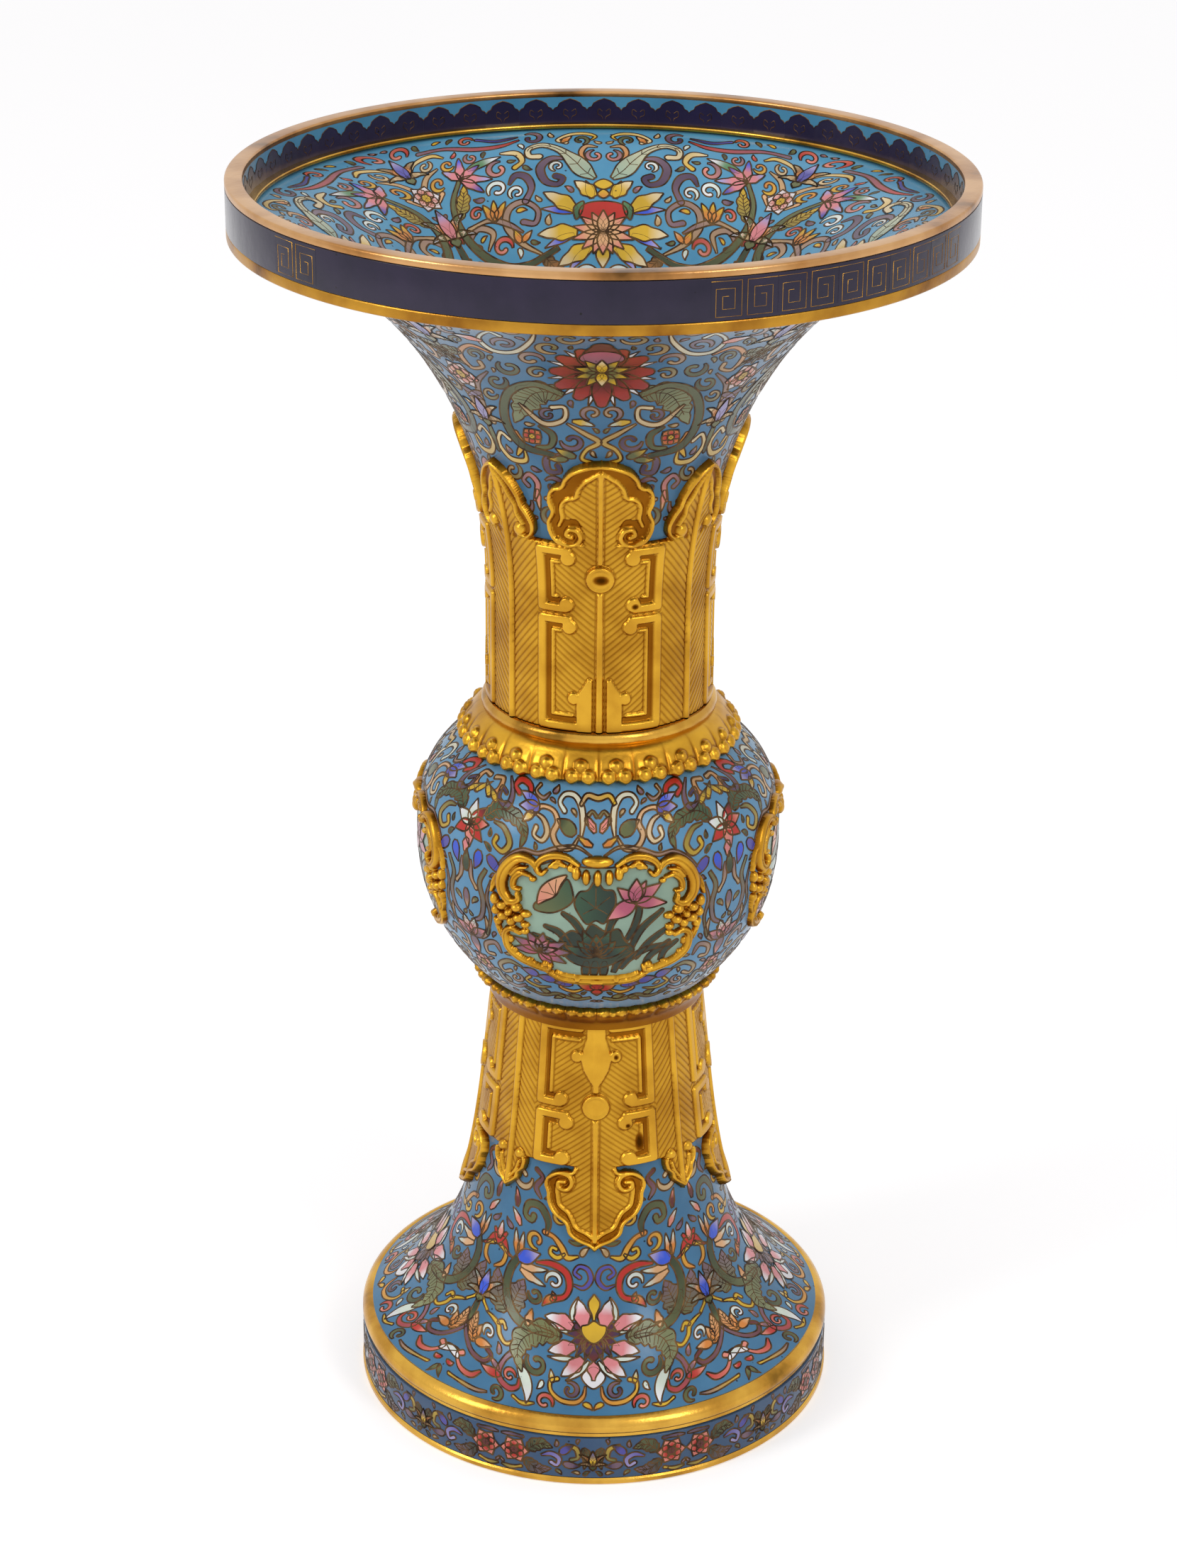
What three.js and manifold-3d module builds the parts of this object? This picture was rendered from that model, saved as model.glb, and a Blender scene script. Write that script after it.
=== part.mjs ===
// A cloisonne-enamel and gilt-bronze beaker vase of gu form, standing free on its foot.
// Three copper cores, a flaring neck, a round knop and a spreading foot, carry thin skins of enamel.
// Gilt-bronze rings, lappet collars, plantain-leaf sleeves and cartouche frames cover the seams.
// Millimetres, +Z up. The origin is the centre of the foot's underside and the front faces -Y.
import * as THREE from "three";
import { mergeVertices } from "three/addons/utils/BufferGeometryUtils.js";
import Module from "manifold-3d";

const wasm = await Module();
wasm.setup();

// Walls, skins and the seam left at every soldered or seated joint
const SEAM = 0.3;
const COPPER_WALL = 1.8;
const ENAMEL = 0.9;
const LAP = 8;

// Foot: base ring and plate, upright band, half-round moulding, then the curve up to the waist
const FOOT_R = 67;
const BASE_RING_HEIGHT = 2;
const BASE_RING_WIDTH = 8;
const BASE_RING_PROUD = 0.4;
const BASE_LEDGE = 2.5;
const BASE_RECESS = 0.8;
const BASE_PLATE = 1.2;
const FOOT_BAND_HEIGHT = 13;
const MOULDING_HEIGHT = 5.5;
const MOULDING_PROUD = 0.2;
const FOOT_STEP = 2.5;
const FOOT_RISE = 102;
const FOOT_SPREAD = { in: 31.8, up: 17.3 };
const WAIST_R = 27;
const WAIST_SPREAD = { out: 5.4, down: 48 };

// Knop: an ellipse below its middle and a squarer shoulder above, cut off at both ends under a lappet collar
const KNOP_R = 49.1;
const KNOP_HALF_HEIGHT = 50.6;
const KNOP_SHOULDER_RATIO = 0.6955;
const KNOP_SHOULDER_POWER = 3;
const KNOP_LOWER_CUT_R = 33.28;
const KNOP_UPPER_CUT_R = 32.5;
const LOWER_COLLAR_HEIGHT = 8;
const UPPER_COLLAR_HEIGHT = 6.4;
const LOWER_DRAPE = 1.4;
const UPPER_DRAPE = 1.2;
const LAPPETS = 24;
const LAPPET_THICK = 1.3;
const LAPPET_SWELL = 1.1;
const LOWER_COLLAR_INSET = 3.6;
const UPPER_COLLAR_INSET = 1.2;

// Neck and trumpet mouth
const NECK_R = 28.4;
const NECK_RING_HEIGHT = 4;
const NECK_RING_PROUD = 2.9;
const NECK_STRAIGHT = 30.5;
const FLARE_RISE = 96;
const FLARE_STRAIGHT = 58.6;
const FLARE_EDGE = { run: 25.5, drop: 3.8 };
const INNER_ENAMEL_DEPTH = 66;

// Upright collar round the mouth
const COLLAR_R = 95;
const COLLAR_OVERHANG = 4.5;
const COLLAR_HEIGHT = 15;
const COLLAR_DROP = 1;
const COLLAR_WALL = 4.6;
const LIP_HEIGHT = 2;
const COLLAR_RING_HEIGHT = 2.9;
const FILLET_WIDTH = 2.6;
const FILLET_HEIGHT = 1.1;
const ROUNDING = 0.6;

// Leaf sleeves: heights are measured from the seated edge towards the leaf tips
const SLEEVE_PLATE = 1.3;
const RELIEF = 0.8;
const BURY = 0.4;
const FRET_WIDTH = 3.2;
const RIB_WIDTH = 3;
const BOSS_R = 3.7;
const BOSS_HEIGHT = 1.4;
const LEAVES = 4;
const UPPER_LEAF = { panel: 53.5, tip: 74.5, sideTip: 70.5, fretGap: 32, boss: 42 };
const LOWER_LEAF = { panel: 41.5, tip: 66, sideTip: 51, fretGap: 25, boss: 24 };
const ENAMEL_TUCK = 5;

// Cartouches: lobed enamel plaques let into the knop, each held under a gilt scroll frame
const CARTOUCHES = { front: 0, right: 90, back: 180, left: 270 };
const CARTOUCHE_DROP = 4.9;
const CARTOUCHE_HALF_WIDTH = 28.4;
const CARTOUCHE_HALF_HEIGHT = 18.9;
const CARTOUCHE_LOBE_RATIO = 0.05;
const PLAQUE_INSET = 1.6;
const FRAME_WIDTH = 2.6;
const FRAME_HEIGHT = 1.7;
const FLOWER_R = 3.6;
const FLOWER_HEIGHT = 2.2;

// Facets
const AROUND = 24;
const CURVE_STEPS = 4;
const KNOP_STEPS = 5;
const HOLLOW_STEPS = 2;
const PLAQUE_SIDES = 12;
const FLOWER_PETALS = 3;
const LAPPET_SIDES = 2;
const BOSS_SIDES = 6;

// How far from its middle each half of the knop has narrowed to a radius
const KNOP_LOWER = { half: KNOP_HALF_HEIGHT, power: 2 };
const KNOP_UPPER = { half: KNOP_HALF_HEIGHT * KNOP_SHOULDER_RATIO, power: KNOP_SHOULDER_POWER };
const knopReach = (radius, { half, power }) => half * (1 - (radius / KNOP_R) ** power) ** (1 / power);

// Heights of the joints, stacked from the table up
const zMoulding = BASE_RING_HEIGHT + FOOT_BAND_HEIGHT;
const zFoot = zMoulding + MOULDING_HEIGHT;
const zWaist = zFoot + FOOT_RISE;
const zKnop = zWaist + LOWER_COLLAR_HEIGHT;
const zKnopMiddle = zKnop + knopReach(KNOP_LOWER_CUT_R, KNOP_LOWER);
const zKnopTop = zKnopMiddle + knopReach(KNOP_UPPER_CUT_R, KNOP_UPPER);
const zNeckRing = zKnopTop + UPPER_COLLAR_HEIGHT;
const zNeck = zNeckRing + NECK_RING_HEIGHT;
const zFlare = zNeck + NECK_STRAIGHT;
const zMouth = zFlare + FLARE_RISE;
const zCollar = zMouth - COLLAR_DROP;
const zTop = zCollar + COLLAR_HEIGHT;

const SKIN = ENAMEL + SEAM;
const footEdgeR = FOOT_R - FOOT_STEP;
const flareEdgeR = COLLAR_R - COLLAR_OVERHANG;
const degrees = THREE.MathUtils.degToRad;
const point = (r, z) => new THREE.Vector2(r, z);

// Outer surface of the foot and of the trumpet, each drawn upwards as radius and height
const footCurve = new THREE.CubicBezierCurve(
  point(footEdgeR, zFoot),
  point(footEdgeR - FOOT_SPREAD.in, zFoot + FOOT_SPREAD.up),
  point(WAIST_R + WAIST_SPREAD.out, zWaist - WAIST_SPREAD.down),
  point(WAIST_R, zWaist),
);
const flareCurve = new THREE.CubicBezierCurve(
  point(NECK_R, zFlare),
  point(NECK_R, zFlare + FLARE_STRAIGHT),
  point(flareEdgeR - FLARE_EDGE.run, zMouth - FLARE_EDGE.drop),
  point(flareEdgeR, zMouth),
);

// Where a rising curve reaches a height
function stepAt(curve, height) {
  let low = 0;
  let high = 1;
  while (high - low > 1e-7) {
    const middle = (low + high) / 2;
    if (curve.getPoint(middle).y < height) low = middle;
    else high = middle;
  }
  return (low + high) / 2;
}

// A point of a rising curve, set off outwards from it
function beside(curve, t, offset) {
  const p = curve.getPoint(t);
  const tangent = curve.getTangent(t);
  return point(p.x + tangent.y * offset, p.y - tangent.x * offset);
}

// Points along part of a rising curve, set off outwards from it
function along(curve, from, to, offset, steps = CURVE_STEPS) {
  const points = [];
  for (let i = 0; i <= steps; i++) points.push(beside(curve, from + ((to - from) * i) / steps, offset));
  return points;
}

// Radius at a height on a line of rising points, straight beyond its ends
function radiusOn(line, height) {
  const next = line.findIndex((p) => p.y > height);
  if (next === 0) return line[0].x;
  if (next < 0) return line.at(-1).x;
  const share = (height - line[next - 1].y) / (line[next].y - line[next - 1].y);
  return THREE.MathUtils.lerp(line[next - 1].x, line[next].x, share);
}

// A point of the knop's surface at a height, set off along its normal
function onKnop(height, offset) {
  const way = Math.sign(height - zKnopMiddle);
  const { half, power } = way > 0 ? KNOP_UPPER : KNOP_LOWER;
  const rise = Math.abs(height - zKnopMiddle) / half;
  const share = (1 - rise ** power) ** (1 / power);
  const normal = point(share ** (power - 1) / KNOP_R, (way * rise ** (power - 1)) / half).normalize();
  return point(KNOP_R * share + normal.x * offset, height + normal.y * offset);
}

// Points up the knop between two heights
function alongKnop(from, to, offset, steps = KNOP_STEPS) {
  const start = Math.asin((from - zKnopMiddle) / KNOP_LOWER.half);
  const end = Math.asin((to - zKnopMiddle) / KNOP_UPPER.half);
  const points = [];
  for (let i = 0; i <= steps; i++) {
    const lift = start + ((end - start) * i) / steps;
    const { half } = lift > 0 ? KNOP_UPPER : KNOP_LOWER;
    points.push(onKnop(zKnopMiddle + half * Math.sin(lift), offset));
  }
  return points;
}

// A place in space by radius, angle from the front and height
function spot(radius, angle, height) {
  return new THREE.Vector3(radius * Math.sin(angle), -radius * Math.cos(angle), height);
}

// A section turned about the upright axis; it closes on itself unless it starts on the axis
function turned(section) {
  const closing = section[0].x > 0 ? [section[0]] : [];
  return new THREE.LatheGeometry([...section, ...closing], AROUND).rotateX(Math.PI / 2);
}

// A ring between two radii and two heights, with its outer corners eased
function plainRing(inner, outer, low, high, ease = 0) {
  const side = [point(outer, low), point(outer, high)];
  const eased = [
    point(outer - ease, low),
    point(outer, low + ease),
    point(outer, high - ease),
    point(outer - ease, high),
  ];
  return turned([point(inner, low), ...(ease ? eased : side), point(inner, high)]);
}

function meshOf(positions, faces) {
  const geometry = new THREE.BufferGeometry();
  geometry.setAttribute("position", new THREE.Float32BufferAttribute(positions, 3));
  return geometry.setIndex(faces);
}

// A ring whose section changes with the angle
function shapedRing(angles, sectionAt) {
  const sections = angles.map(sectionAt);
  const count = sections[0].length;
  const positions = [];
  const faces = [];
  sections.forEach((section, column) => {
    const next = (column + 1) % angles.length;
    section.forEach((p, i) => {
      const over = (i + 1) % count;
      positions.push(...spot(p.x, angles[column], p.y));
      faces.push(column * count + i, next * count + i, next * count + over);
      faces.push(column * count + i, next * count + over, column * count + over);
    });
  });
  return meshOf(positions, faces);
}

// A bar laid along a line drawn on a surface; its section is given as across and above.
// At a bend the section widens to keep its width, up to a limit that stops a sharp bend from spiking.
const SHARPEST_TURN_RATIO = 0.4;

function bar(line, section, place, closed = false) {
  const count = section.length;
  const positions = [];
  const faces = [];
  line.forEach((p, i) => {
    const before = line[i - 1] ?? (closed ? line.at(-1) : p);
    const after = line[i + 1] ?? (closed ? line[0] : p);
    const arriving = p.clone().sub(before).normalize();
    const leaving = after.clone().sub(p).normalize();
    const heading = arriving.clone().add(leaving).normalize();
    const bends = arriving.length() && leaving.length();
    const turn = Math.max(SHARPEST_TURN_RATIO, bends ? heading.dot(leaving) : 1);
    section.forEach(([across, above], k) => {
      const shift = across / turn;
      positions.push(...place(p.x - heading.y * shift, p.y + heading.x * shift, above));
      const next = (i + 1) % line.length;
      const over = (k + 1) % count;
      if (!closed && next === 0) return;
      faces.push(i * count + k, i * count + over, next * count + over);
      faces.push(i * count + k, next * count + over, next * count + k);
    });
  });
  const last = (line.length - 1) * count;
  for (let k = 1; k < count - 1 && !closed; k++) faces.push(0, k + 1, k, last, last + k, last + k + 1);
  return meshOf(positions, faces);
}

// A pad over a closed outline on a surface. Its top is rings of [share of the outline, height], rim first,
// and its underside lies at one height, in rings of the given shares.
function pad(outline, rings, base, place, under = [1, 0]) {
  const count = outline.length;
  const middle = outline.reduce((sum, p) => sum.add(p), point(0, 0)).divideScalar(count);
  const layers = [...under.map((share) => [share, base]).reverse(), ...rings];
  const positions = [];
  const faces = [];
  layers.forEach(([share, height], layer) => {
    const next = layer + 1;
    outline.forEach((p, k) => {
      const over = (k + 1) % count;
      const q = middle.clone().lerp(p, share);
      positions.push(...place(q.x, q.y, height));
      if (next === layers.length) return;
      if (share > 0) faces.push(layer * count + k, layer * count + over, next * count + over);
      if (layers[next][0] > 0) faces.push(layer * count + k, next * count + over, next * count + k);
    });
  });
  return meshOf(positions, faces);
}

// A closed geometry as a solid; a drawing laid on upside down has its faces turned back outwards
function solid(geometry) {
  const bare = geometry.clone();
  bare.deleteAttribute("normal");
  bare.deleteAttribute("uv");
  const merged = mergeVertices(bare, 1e-4);
  const triVerts = new Uint32Array(merged.index.array);
  const vertProperties = merged.attributes.position.array;
  const made = new wasm.Manifold(new wasm.Mesh({ numProp: 3, vertProperties, triVerts }));
  if (made.volume() > 0) return made;
  for (let i = 0; i < triVerts.length; i += 3) {
    [triVerts[i], triVerts[i + 1]] = [triVerts[i + 1], triVerts[i]];
  }
  return new wasm.Manifold(new wasm.Mesh({ numProp: 3, vertProperties, triVerts }));
}

function geometryOf(made) {
  const { vertProperties, triVerts } = made.getMesh();
  return meshOf(vertProperties, [...triVerts]);
}

const joined = (pieces) => geometryOf(pieces.map(solid).reduce((sum, piece) => sum.add(piece)));

// A band with a raised crest
const crestedBand = (width, low, high) => [
  [-width / 2, low],
  [width / 2, low],
  [0, high],
];

const gilt = () => new THREE.MeshStandardMaterial({ color: 0xc4953a, roughness: 0.32, metalness: 1 });
const copper = () => new THREE.MeshStandardMaterial({ color: 0xb07a4c, roughness: 0.5, metalness: 1 });
const turquoise = () => new THREE.MeshStandardMaterial({ color: 0x4d8fb3, roughness: 0.3, metalness: 0 });
const navy = () => new THREE.MeshStandardMaterial({ color: 0x2d2a40, roughness: 0.35, metalness: 0 });
const celadon = () => new THREE.MeshStandardMaterial({ color: 0xa9c0ab, roughness: 0.3, metalness: 0 });

const vase = new THREE.Group();

function add(name, geometry, material) {
  const mesh = new THREE.Mesh(geometry, material);
  mesh.name = name;
  vase.add(mesh);
}

// Foot
const footBandR = FOOT_R - SKIN;
const footWallR = footEdgeR - SKIN;
const baseInnerR = FOOT_R - BASE_RING_WIDTH;
const baseSeatR = baseInnerR + BASE_LEDGE;
const footEnamelTop = zWaist - LOWER_LEAF.panel + ENAMEL_TUCK;
const footSkinEnd = stepAt(footCurve, footEnamelTop);
const footLedge = stepAt(footCurve, footEnamelTop + SEAM);
const footSkin = along(footCurve, 0, footSkinEnd, 0);
const footBare = [...along(footCurve, footLedge, 1, 0, 1), point(WAIST_R, zKnop + LAP)];

function footBaseRing() {
  const outer = FOOT_R + BASE_RING_PROUD;
  return turned([
    point(baseInnerR, 0),
    point(outer, 0),
    point(outer, BASE_RING_HEIGHT - ROUNDING),
    point(outer - ROUNDING, BASE_RING_HEIGHT),
    point(baseSeatR, BASE_RING_HEIGHT),
    point(baseSeatR, BASE_RECESS),
    point(baseInnerR, BASE_RECESS),
  ]);
}

function basePlate() {
  const low = BASE_RECESS + SEAM;
  const edge = baseSeatR - SEAM;
  return turned([point(0, low), point(edge, low), point(edge, low + BASE_PLATE), point(0, low + BASE_PLATE)]);
}

function footCore() {
  const low = BASE_RING_HEIGHT + SEAM;
  const shoulder = zMoulding - SEAM;
  const inside = SKIN + COPPER_WALL;
  const hollow = [...along(footCurve, 0, footSkinEnd, -inside).slice(1), beside(footCurve, 1, -inside)];
  return turned([
    point(footBandR - COPPER_WALL, low),
    point(footBandR, low),
    point(footBandR, shoulder),
    point(footWallR, shoulder),
    ...along(footCurve, 0, footSkinEnd, -SKIN),
    beside(footCurve, footLedge, -SKIN),
    ...footBare,
    point(WAIST_R - inside, zKnop + LAP),
    ...hollow.reverse(),
    point(footWallR - COPPER_WALL, shoulder - COPPER_WALL),
    point(footBandR - COPPER_WALL, shoulder - COPPER_WALL),
  ]);
}

function footEnamel() {
  return turned([...footSkin, ...along(footCurve, 0, footSkinEnd, -ENAMEL).reverse()]);
}

function footMoulding() {
  const inner = footEdgeR + SEAM;
  const outer = FOOT_R + MOULDING_PROUD;
  const bulge = MOULDING_HEIGHT / 4;
  return turned([
    point(inner, zMoulding),
    point(outer, zMoulding),
    point(outer, zFoot - 2 * bulge),
    point(outer - bulge, zFoot - bulge / 2),
    point(inner, zFoot),
  ]);
}

add("foot_base_ring", footBaseRing(), gilt());
add("base_plate", basePlate(), gilt());
add("foot_core", footCore(), copper());
add(
  "foot_band_enamel",
  plainRing(FOOT_R - ENAMEL, FOOT_R, BASE_RING_HEIGHT + SEAM, zMoulding - SEAM),
  turquoise(),
);
add("foot_moulding_ring", footMoulding(), gilt());
add("foot_enamel", footEnamel(), turquoise());

// Knop
const footBoreR = WAIST_R + SEAM;
const neckBoreR = NECK_R + SEAM;

function knopCore() {
  const outer = alongKnop(zKnop, zKnopTop, -SKIN);
  const low = outer[0].y;
  const high = outer.at(-1).y;
  return turned([
    point(footBoreR, low),
    ...outer,
    point(neckBoreR, high),
    point(neckBoreR, high - COPPER_WALL),
    ...alongKnop(low, high, -SKIN - COPPER_WALL, HOLLOW_STEPS).reverse(),
    point(footBoreR, low + COPPER_WALL),
  ]);
}

// Lobed outline of the cartouche, taken in by a margin
function cartoucheOutline(margin) {
  const outline = [];
  for (let i = 0; i < PLAQUE_SIDES; i++) {
    const angle = (2 * Math.PI * i) / PLAQUE_SIDES;
    const lobes = 1 - CARTOUCHE_LOBE_RATIO * Math.cos(4 * angle);
    outline.push(
      point(
        (CARTOUCHE_HALF_WIDTH - margin) * lobes * Math.cos(angle),
        (CARTOUCHE_HALF_HEIGHT - margin) * lobes * Math.sin(angle),
      ),
    );
  }
  return outline;
}

// Lays the cartouche's drawing on the knop, turned round to one of its four sides
function knopPlace(side) {
  const turn = degrees(CARTOUCHES[side]);
  return (x, y, above) => {
    const p = onKnop(zKnopMiddle - CARTOUCHE_DROP + y, above);
    return spot(p.x, turn + x / KNOP_R, p.y);
  };
}

function plaque(side) {
  const shares = [1, 3 / 4, 1 / 2, 1 / 4, 0];
  const flush = shares.map((share) => [share, 0]);
  return pad(cartoucheOutline(PLAQUE_INSET + SEAM), flush, -ENAMEL, knopPlace(side), shares);
}

// The knop's skin, with a window for each plaque
function knopEnamel() {
  const skin = turned([...alongKnop(zKnop, zKnopTop, 0), ...alongKnop(zKnop, zKnopTop, -ENAMEL).reverse()]);
  const through = 4 * ENAMEL;
  const over = [
    [1, through],
    [0, through],
  ];
  const windows = Object.keys(CARTOUCHES).map((side) =>
    solid(pad(cartoucheOutline(PLAQUE_INSET), over, -through, knopPlace(side))),
  );
  return geometryOf(windows.reduce((rest, window) => rest.subtract(window), solid(skin)));
}

// A lappet collar seated on the knop: way is 1 over the top cut and -1 under the bottom one
function lappetCollar(way, seat, bore, drape, height, inset) {
  const count = LAPPETS * LAPPET_SIDES;
  const angles = Array.from({ length: count }, (_, i) => (2 * Math.PI * i) / count);
  const rim = onKnop(seat, SEAM);
  const far = seat + way * (height - SEAM);
  return shapedRing(angles, (angle) => {
    const swell = LAPPET_SWELL * (0.5 + 0.5 * Math.cos(LAPPETS * angle));
    const hem = onKnop(seat - way * (drape + swell / 2), SEAM);
    const section = [
      point(bore, seat + way * SEAM),
      point(rim.x, seat + way * SEAM),
      hem,
      point(hem.x + swell, hem.y + way * LAPPET_THICK),
      point(rim.x - inset, far),
      point(bore, far),
    ];
    return way > 0 ? section : section.reverse();
  });
}

// Gilt scroll frame: a lobed border, a curl in each upper corner, a flower above and one at each end
// Half of the border from the bottom up, as shares of the cartouche's half width and half height
const FRAME_HALF = [
  [0.25, -1],
  [0.5, -0.86],
  [0.76, -0.78],
  [0.95, -0.42],
  [0.98, 0.3],
  [0.8, 0.86],
  [0.58, 0.82],
  [0.3, 1],
];
const FRAME_CURL = [
  [0.95, 0.4],
  [0.85, 0.2],
  [0.73, 0.34],
];

function cartoucheFrame(side) {
  const place = knopPlace(side);
  const sized = ([x, y]) => point(x * CARTOUCHE_HALF_WIDTH, y * CARTOUCHE_HALF_HEIGHT);
  const mirror = (p) => point(-p.x, p.y);
  const band = crestedBand(FRAME_WIDTH, SEAM, FRAME_HEIGHT);
  const half = FRAME_HALF.map(sized);
  const curl = FRAME_CURL.map(sized);
  return joined([
    bar([...half, ...half.map(mirror).reverse()], band, place, true),
    bar(curl, band, place),
    bar(curl.map(mirror), band, place),
    flower(sized([0, 0.9]), place),
    flower(sized([0.97, -0.06]), place),
    flower(sized([-0.97, -0.06]), place),
  ]);
}

// A small applied flower with pointed petals
function flower(middle, place) {
  const outline = [];
  for (let i = 0; i < 2 * FLOWER_PETALS; i++) {
    const angle = (Math.PI * i) / FLOWER_PETALS;
    const reach = i % 2 ? FLOWER_R : FLOWER_R * 0.6;
    outline.push(point(middle.x + reach * Math.cos(angle), middle.y + reach * Math.sin(angle)));
  }
  const rings = [
    [1, FLOWER_HEIGHT / 2],
    [0, FLOWER_HEIGHT],
  ];
  return pad(outline, rings, SEAM, place);
}

add("knop_core", knopCore(), copper());
add("knop_enamel", knopEnamel(), turquoise());
add(
  "lower_lappet_collar",
  lappetCollar(-1, zKnop, footBoreR, LOWER_DRAPE, LOWER_COLLAR_HEIGHT, LOWER_COLLAR_INSET),
  gilt(),
);
add(
  "upper_lappet_collar",
  lappetCollar(1, zKnopTop, neckBoreR, UPPER_DRAPE, UPPER_COLLAR_HEIGHT, UPPER_COLLAR_INSET),
  gilt(),
);
for (const side of Object.keys(CARTOUCHES)) {
  add(`cartouche_plaque_${side}`, plaque(side), celadon());
  add(`cartouche_frame_${side}`, cartoucheFrame(side), gilt());
}

// Leaf sleeves
// Half of each leaf head's outline, as [share of its half angle, share of its height above the panel]
const LEAF_HALF_ANGLE = 25.5;
const LEAF_HALF = [
  [0.45, -0.1],
  [0.52, 0.05],
  [0.92, 0.05],
  [1, 0.3],
  [0.84, 0.54],
  [0.6, 0.64],
  [0.34, 0.84],
];
const LEAF_RIM_RATIO = 0.86;
const LEAF_FIELD_RATIO = 0.76;
const SIDE_HALF_ANGLE = 9.5;
const SIDE_HALF = [
  [0.6, -0.1],
  [1, 0.12],
  [0.7, 0.66],
];
const FRET_ANGLE = 29.5;
const HOOK_ANGLE = 14;
const FRET_MARGIN = 2;

// A gilt sleeve over a turned surface: way is 1 where the leaves point up and -1 where they hang.
// Panels of key fret flank the ribs of the large leaves, and a small leaf stands between each two.
function leafSleeve(leaf, seat, way, surface) {
  const sheet = (y) => radiusOn(surface, seat + way * y) + SEAM;
  const drawR = sheet(leaf.panel / 2) + SLEEVE_PLATE;
  const placeAt = (turn) => (x, y, above) =>
    spot(sheet(y) + SLEEVE_PLATE + above, turn + x / drawR, seat + way * y);
  const angled = ([angle, y]) => point(degrees(angle) * drawR, y);
  const mirror = (p) => point(-p.x, p.y);

  const heights = [0, leaf.panel - ENAMEL_TUCK, leaf.panel];
  const plate = [
    ...heights.map((y) => point(sheet(y) + SLEEVE_PLATE, seat + way * y)),
    ...heights.map((y) => point(sheet(y), seat + way * y)).reverse(),
  ];

  const headOutline = (half, halfAngle, tip) => {
    const line = half.map(([x, y]) => angled([x * halfAngle, leaf.panel + y * (tip - leaf.panel)]));
    return [...line, point(0, tip), ...line.map(mirror).reverse(), point(0, line[0].y)];
  };
  const headRings = [
    [1, RELIEF],
    [LEAF_RIM_RATIO, RELIEF],
    [LEAF_FIELD_RATIO, 0],
    [0, 0],
  ];
  const sideHeadRings = [
    [1, RELIEF / 2],
    [0, RELIEF],
  ];

  const fret = crestedBand(FRET_WIDTH, -BURY, RELIEF);
  const inset = FRET_WIDTH / 2;
  const nearFret = [
    [FRET_ANGLE, FRET_MARGIN],
    [FRET_ANGLE, leaf.fretGap - inset],
    [HOOK_ANGLE, leaf.fretGap - inset],
  ];
  const farFret = [
    [HOOK_ANGLE, leaf.fretGap + inset + SEAM],
    [FRET_ANGLE, leaf.fretGap + inset + SEAM],
    [FRET_ANGLE, leaf.panel - inset - SEAM],
    [HOOK_ANGLE, leaf.panel - inset - SEAM],
  ];
  const rib = crestedBand(RIB_WIDTH, -BURY, RELIEF);
  const ribLine = (...heights) => heights.map((y) => point(0, y));

  const boss = [];
  for (let i = 0; i < BOSS_SIDES; i++) {
    const angle = (2 * Math.PI * i) / BOSS_SIDES;
    boss.push(point(BOSS_R * Math.cos(angle), leaf.boss + BOSS_R * Math.sin(angle)));
  }
  const bossRings = [
    [1, RELIEF],
    [0, BOSS_HEIGHT],
  ];

  const pieces = [turned(way > 0 ? plate : plate.reverse())];
  for (let k = 0; k < LEAVES; k++) {
    const place = placeAt(degrees((k * 360) / LEAVES));
    const sidePlace = placeAt(degrees(((k + 0.5) * 360) / LEAVES));
    for (const line of [nearFret, farFret]) {
      pieces.push(bar(line.map(angled), fret, place));
      pieces.push(bar(line.map(angled).map(mirror), fret, place));
    }
    const head = headOutline(LEAF_HALF, LEAF_HALF_ANGLE, leaf.tip);
    const sideHead = headOutline(SIDE_HALF, SIDE_HALF_ANGLE, leaf.sideTip);
    pieces.push(pad(head, headRings, SEAM - SLEEVE_PLATE, place, [1, 0.5, 0]));
    pieces.push(pad(sideHead, sideHeadRings, SEAM - SLEEVE_PLATE, sidePlace));
    pieces.push(bar(ribLine(FRET_MARGIN, leaf.panel, leaf.tip - RIB_WIDTH), rib, place));
    pieces.push(bar(ribLine(FRET_MARGIN, leaf.panel), rib, sidePlace));
    pieces.push(pad(boss, bossRings, -BURY, place));
  }
  return joined(pieces);
}

// Neck and trumpet
const neckEnamelBottom = zNeck + UPPER_LEAF.panel - ENAMEL_TUCK;
const neckSkinStart = stepAt(flareCurve, neckEnamelBottom);
const neckLedge = stepAt(flareCurve, neckEnamelBottom - SEAM);
const neckBare = [point(NECK_R, zKnopTop - LAP), ...along(flareCurve, 0, neckLedge, 0, 1)];
const flareSkin = along(flareCurve, neckSkinStart, 1, 0);
const liningDepth = 2 * SKIN + COPPER_WALL;
const liningLedge = stepAt(flareCurve, zMouth - INNER_ENAMEL_DEPTH);
const liningStart = stepAt(flareCurve, zMouth - INNER_ENAMEL_DEPTH + SEAM);

function trumpetCore() {
  const floor = zKnopTop - LAP;
  const inside = SKIN + COPPER_WALL;
  return turned([
    point(0, floor),
    ...neckBare,
    beside(flareCurve, neckLedge, -SKIN),
    ...along(flareCurve, neckSkinStart, 1, -SKIN),
    ...along(flareCurve, liningStart, 1, -inside).reverse(),
    beside(flareCurve, liningLedge, -inside),
    ...along(flareCurve, 0, liningLedge, -liningDepth, 1).reverse(),
    point(NECK_R - liningDepth, floor + COPPER_WALL),
    point(0, floor + COPPER_WALL),
  ]);
}

function trumpetOuterEnamel() {
  return turned([...flareSkin, ...along(flareCurve, neckSkinStart, 1, -ENAMEL).reverse()]);
}

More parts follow.
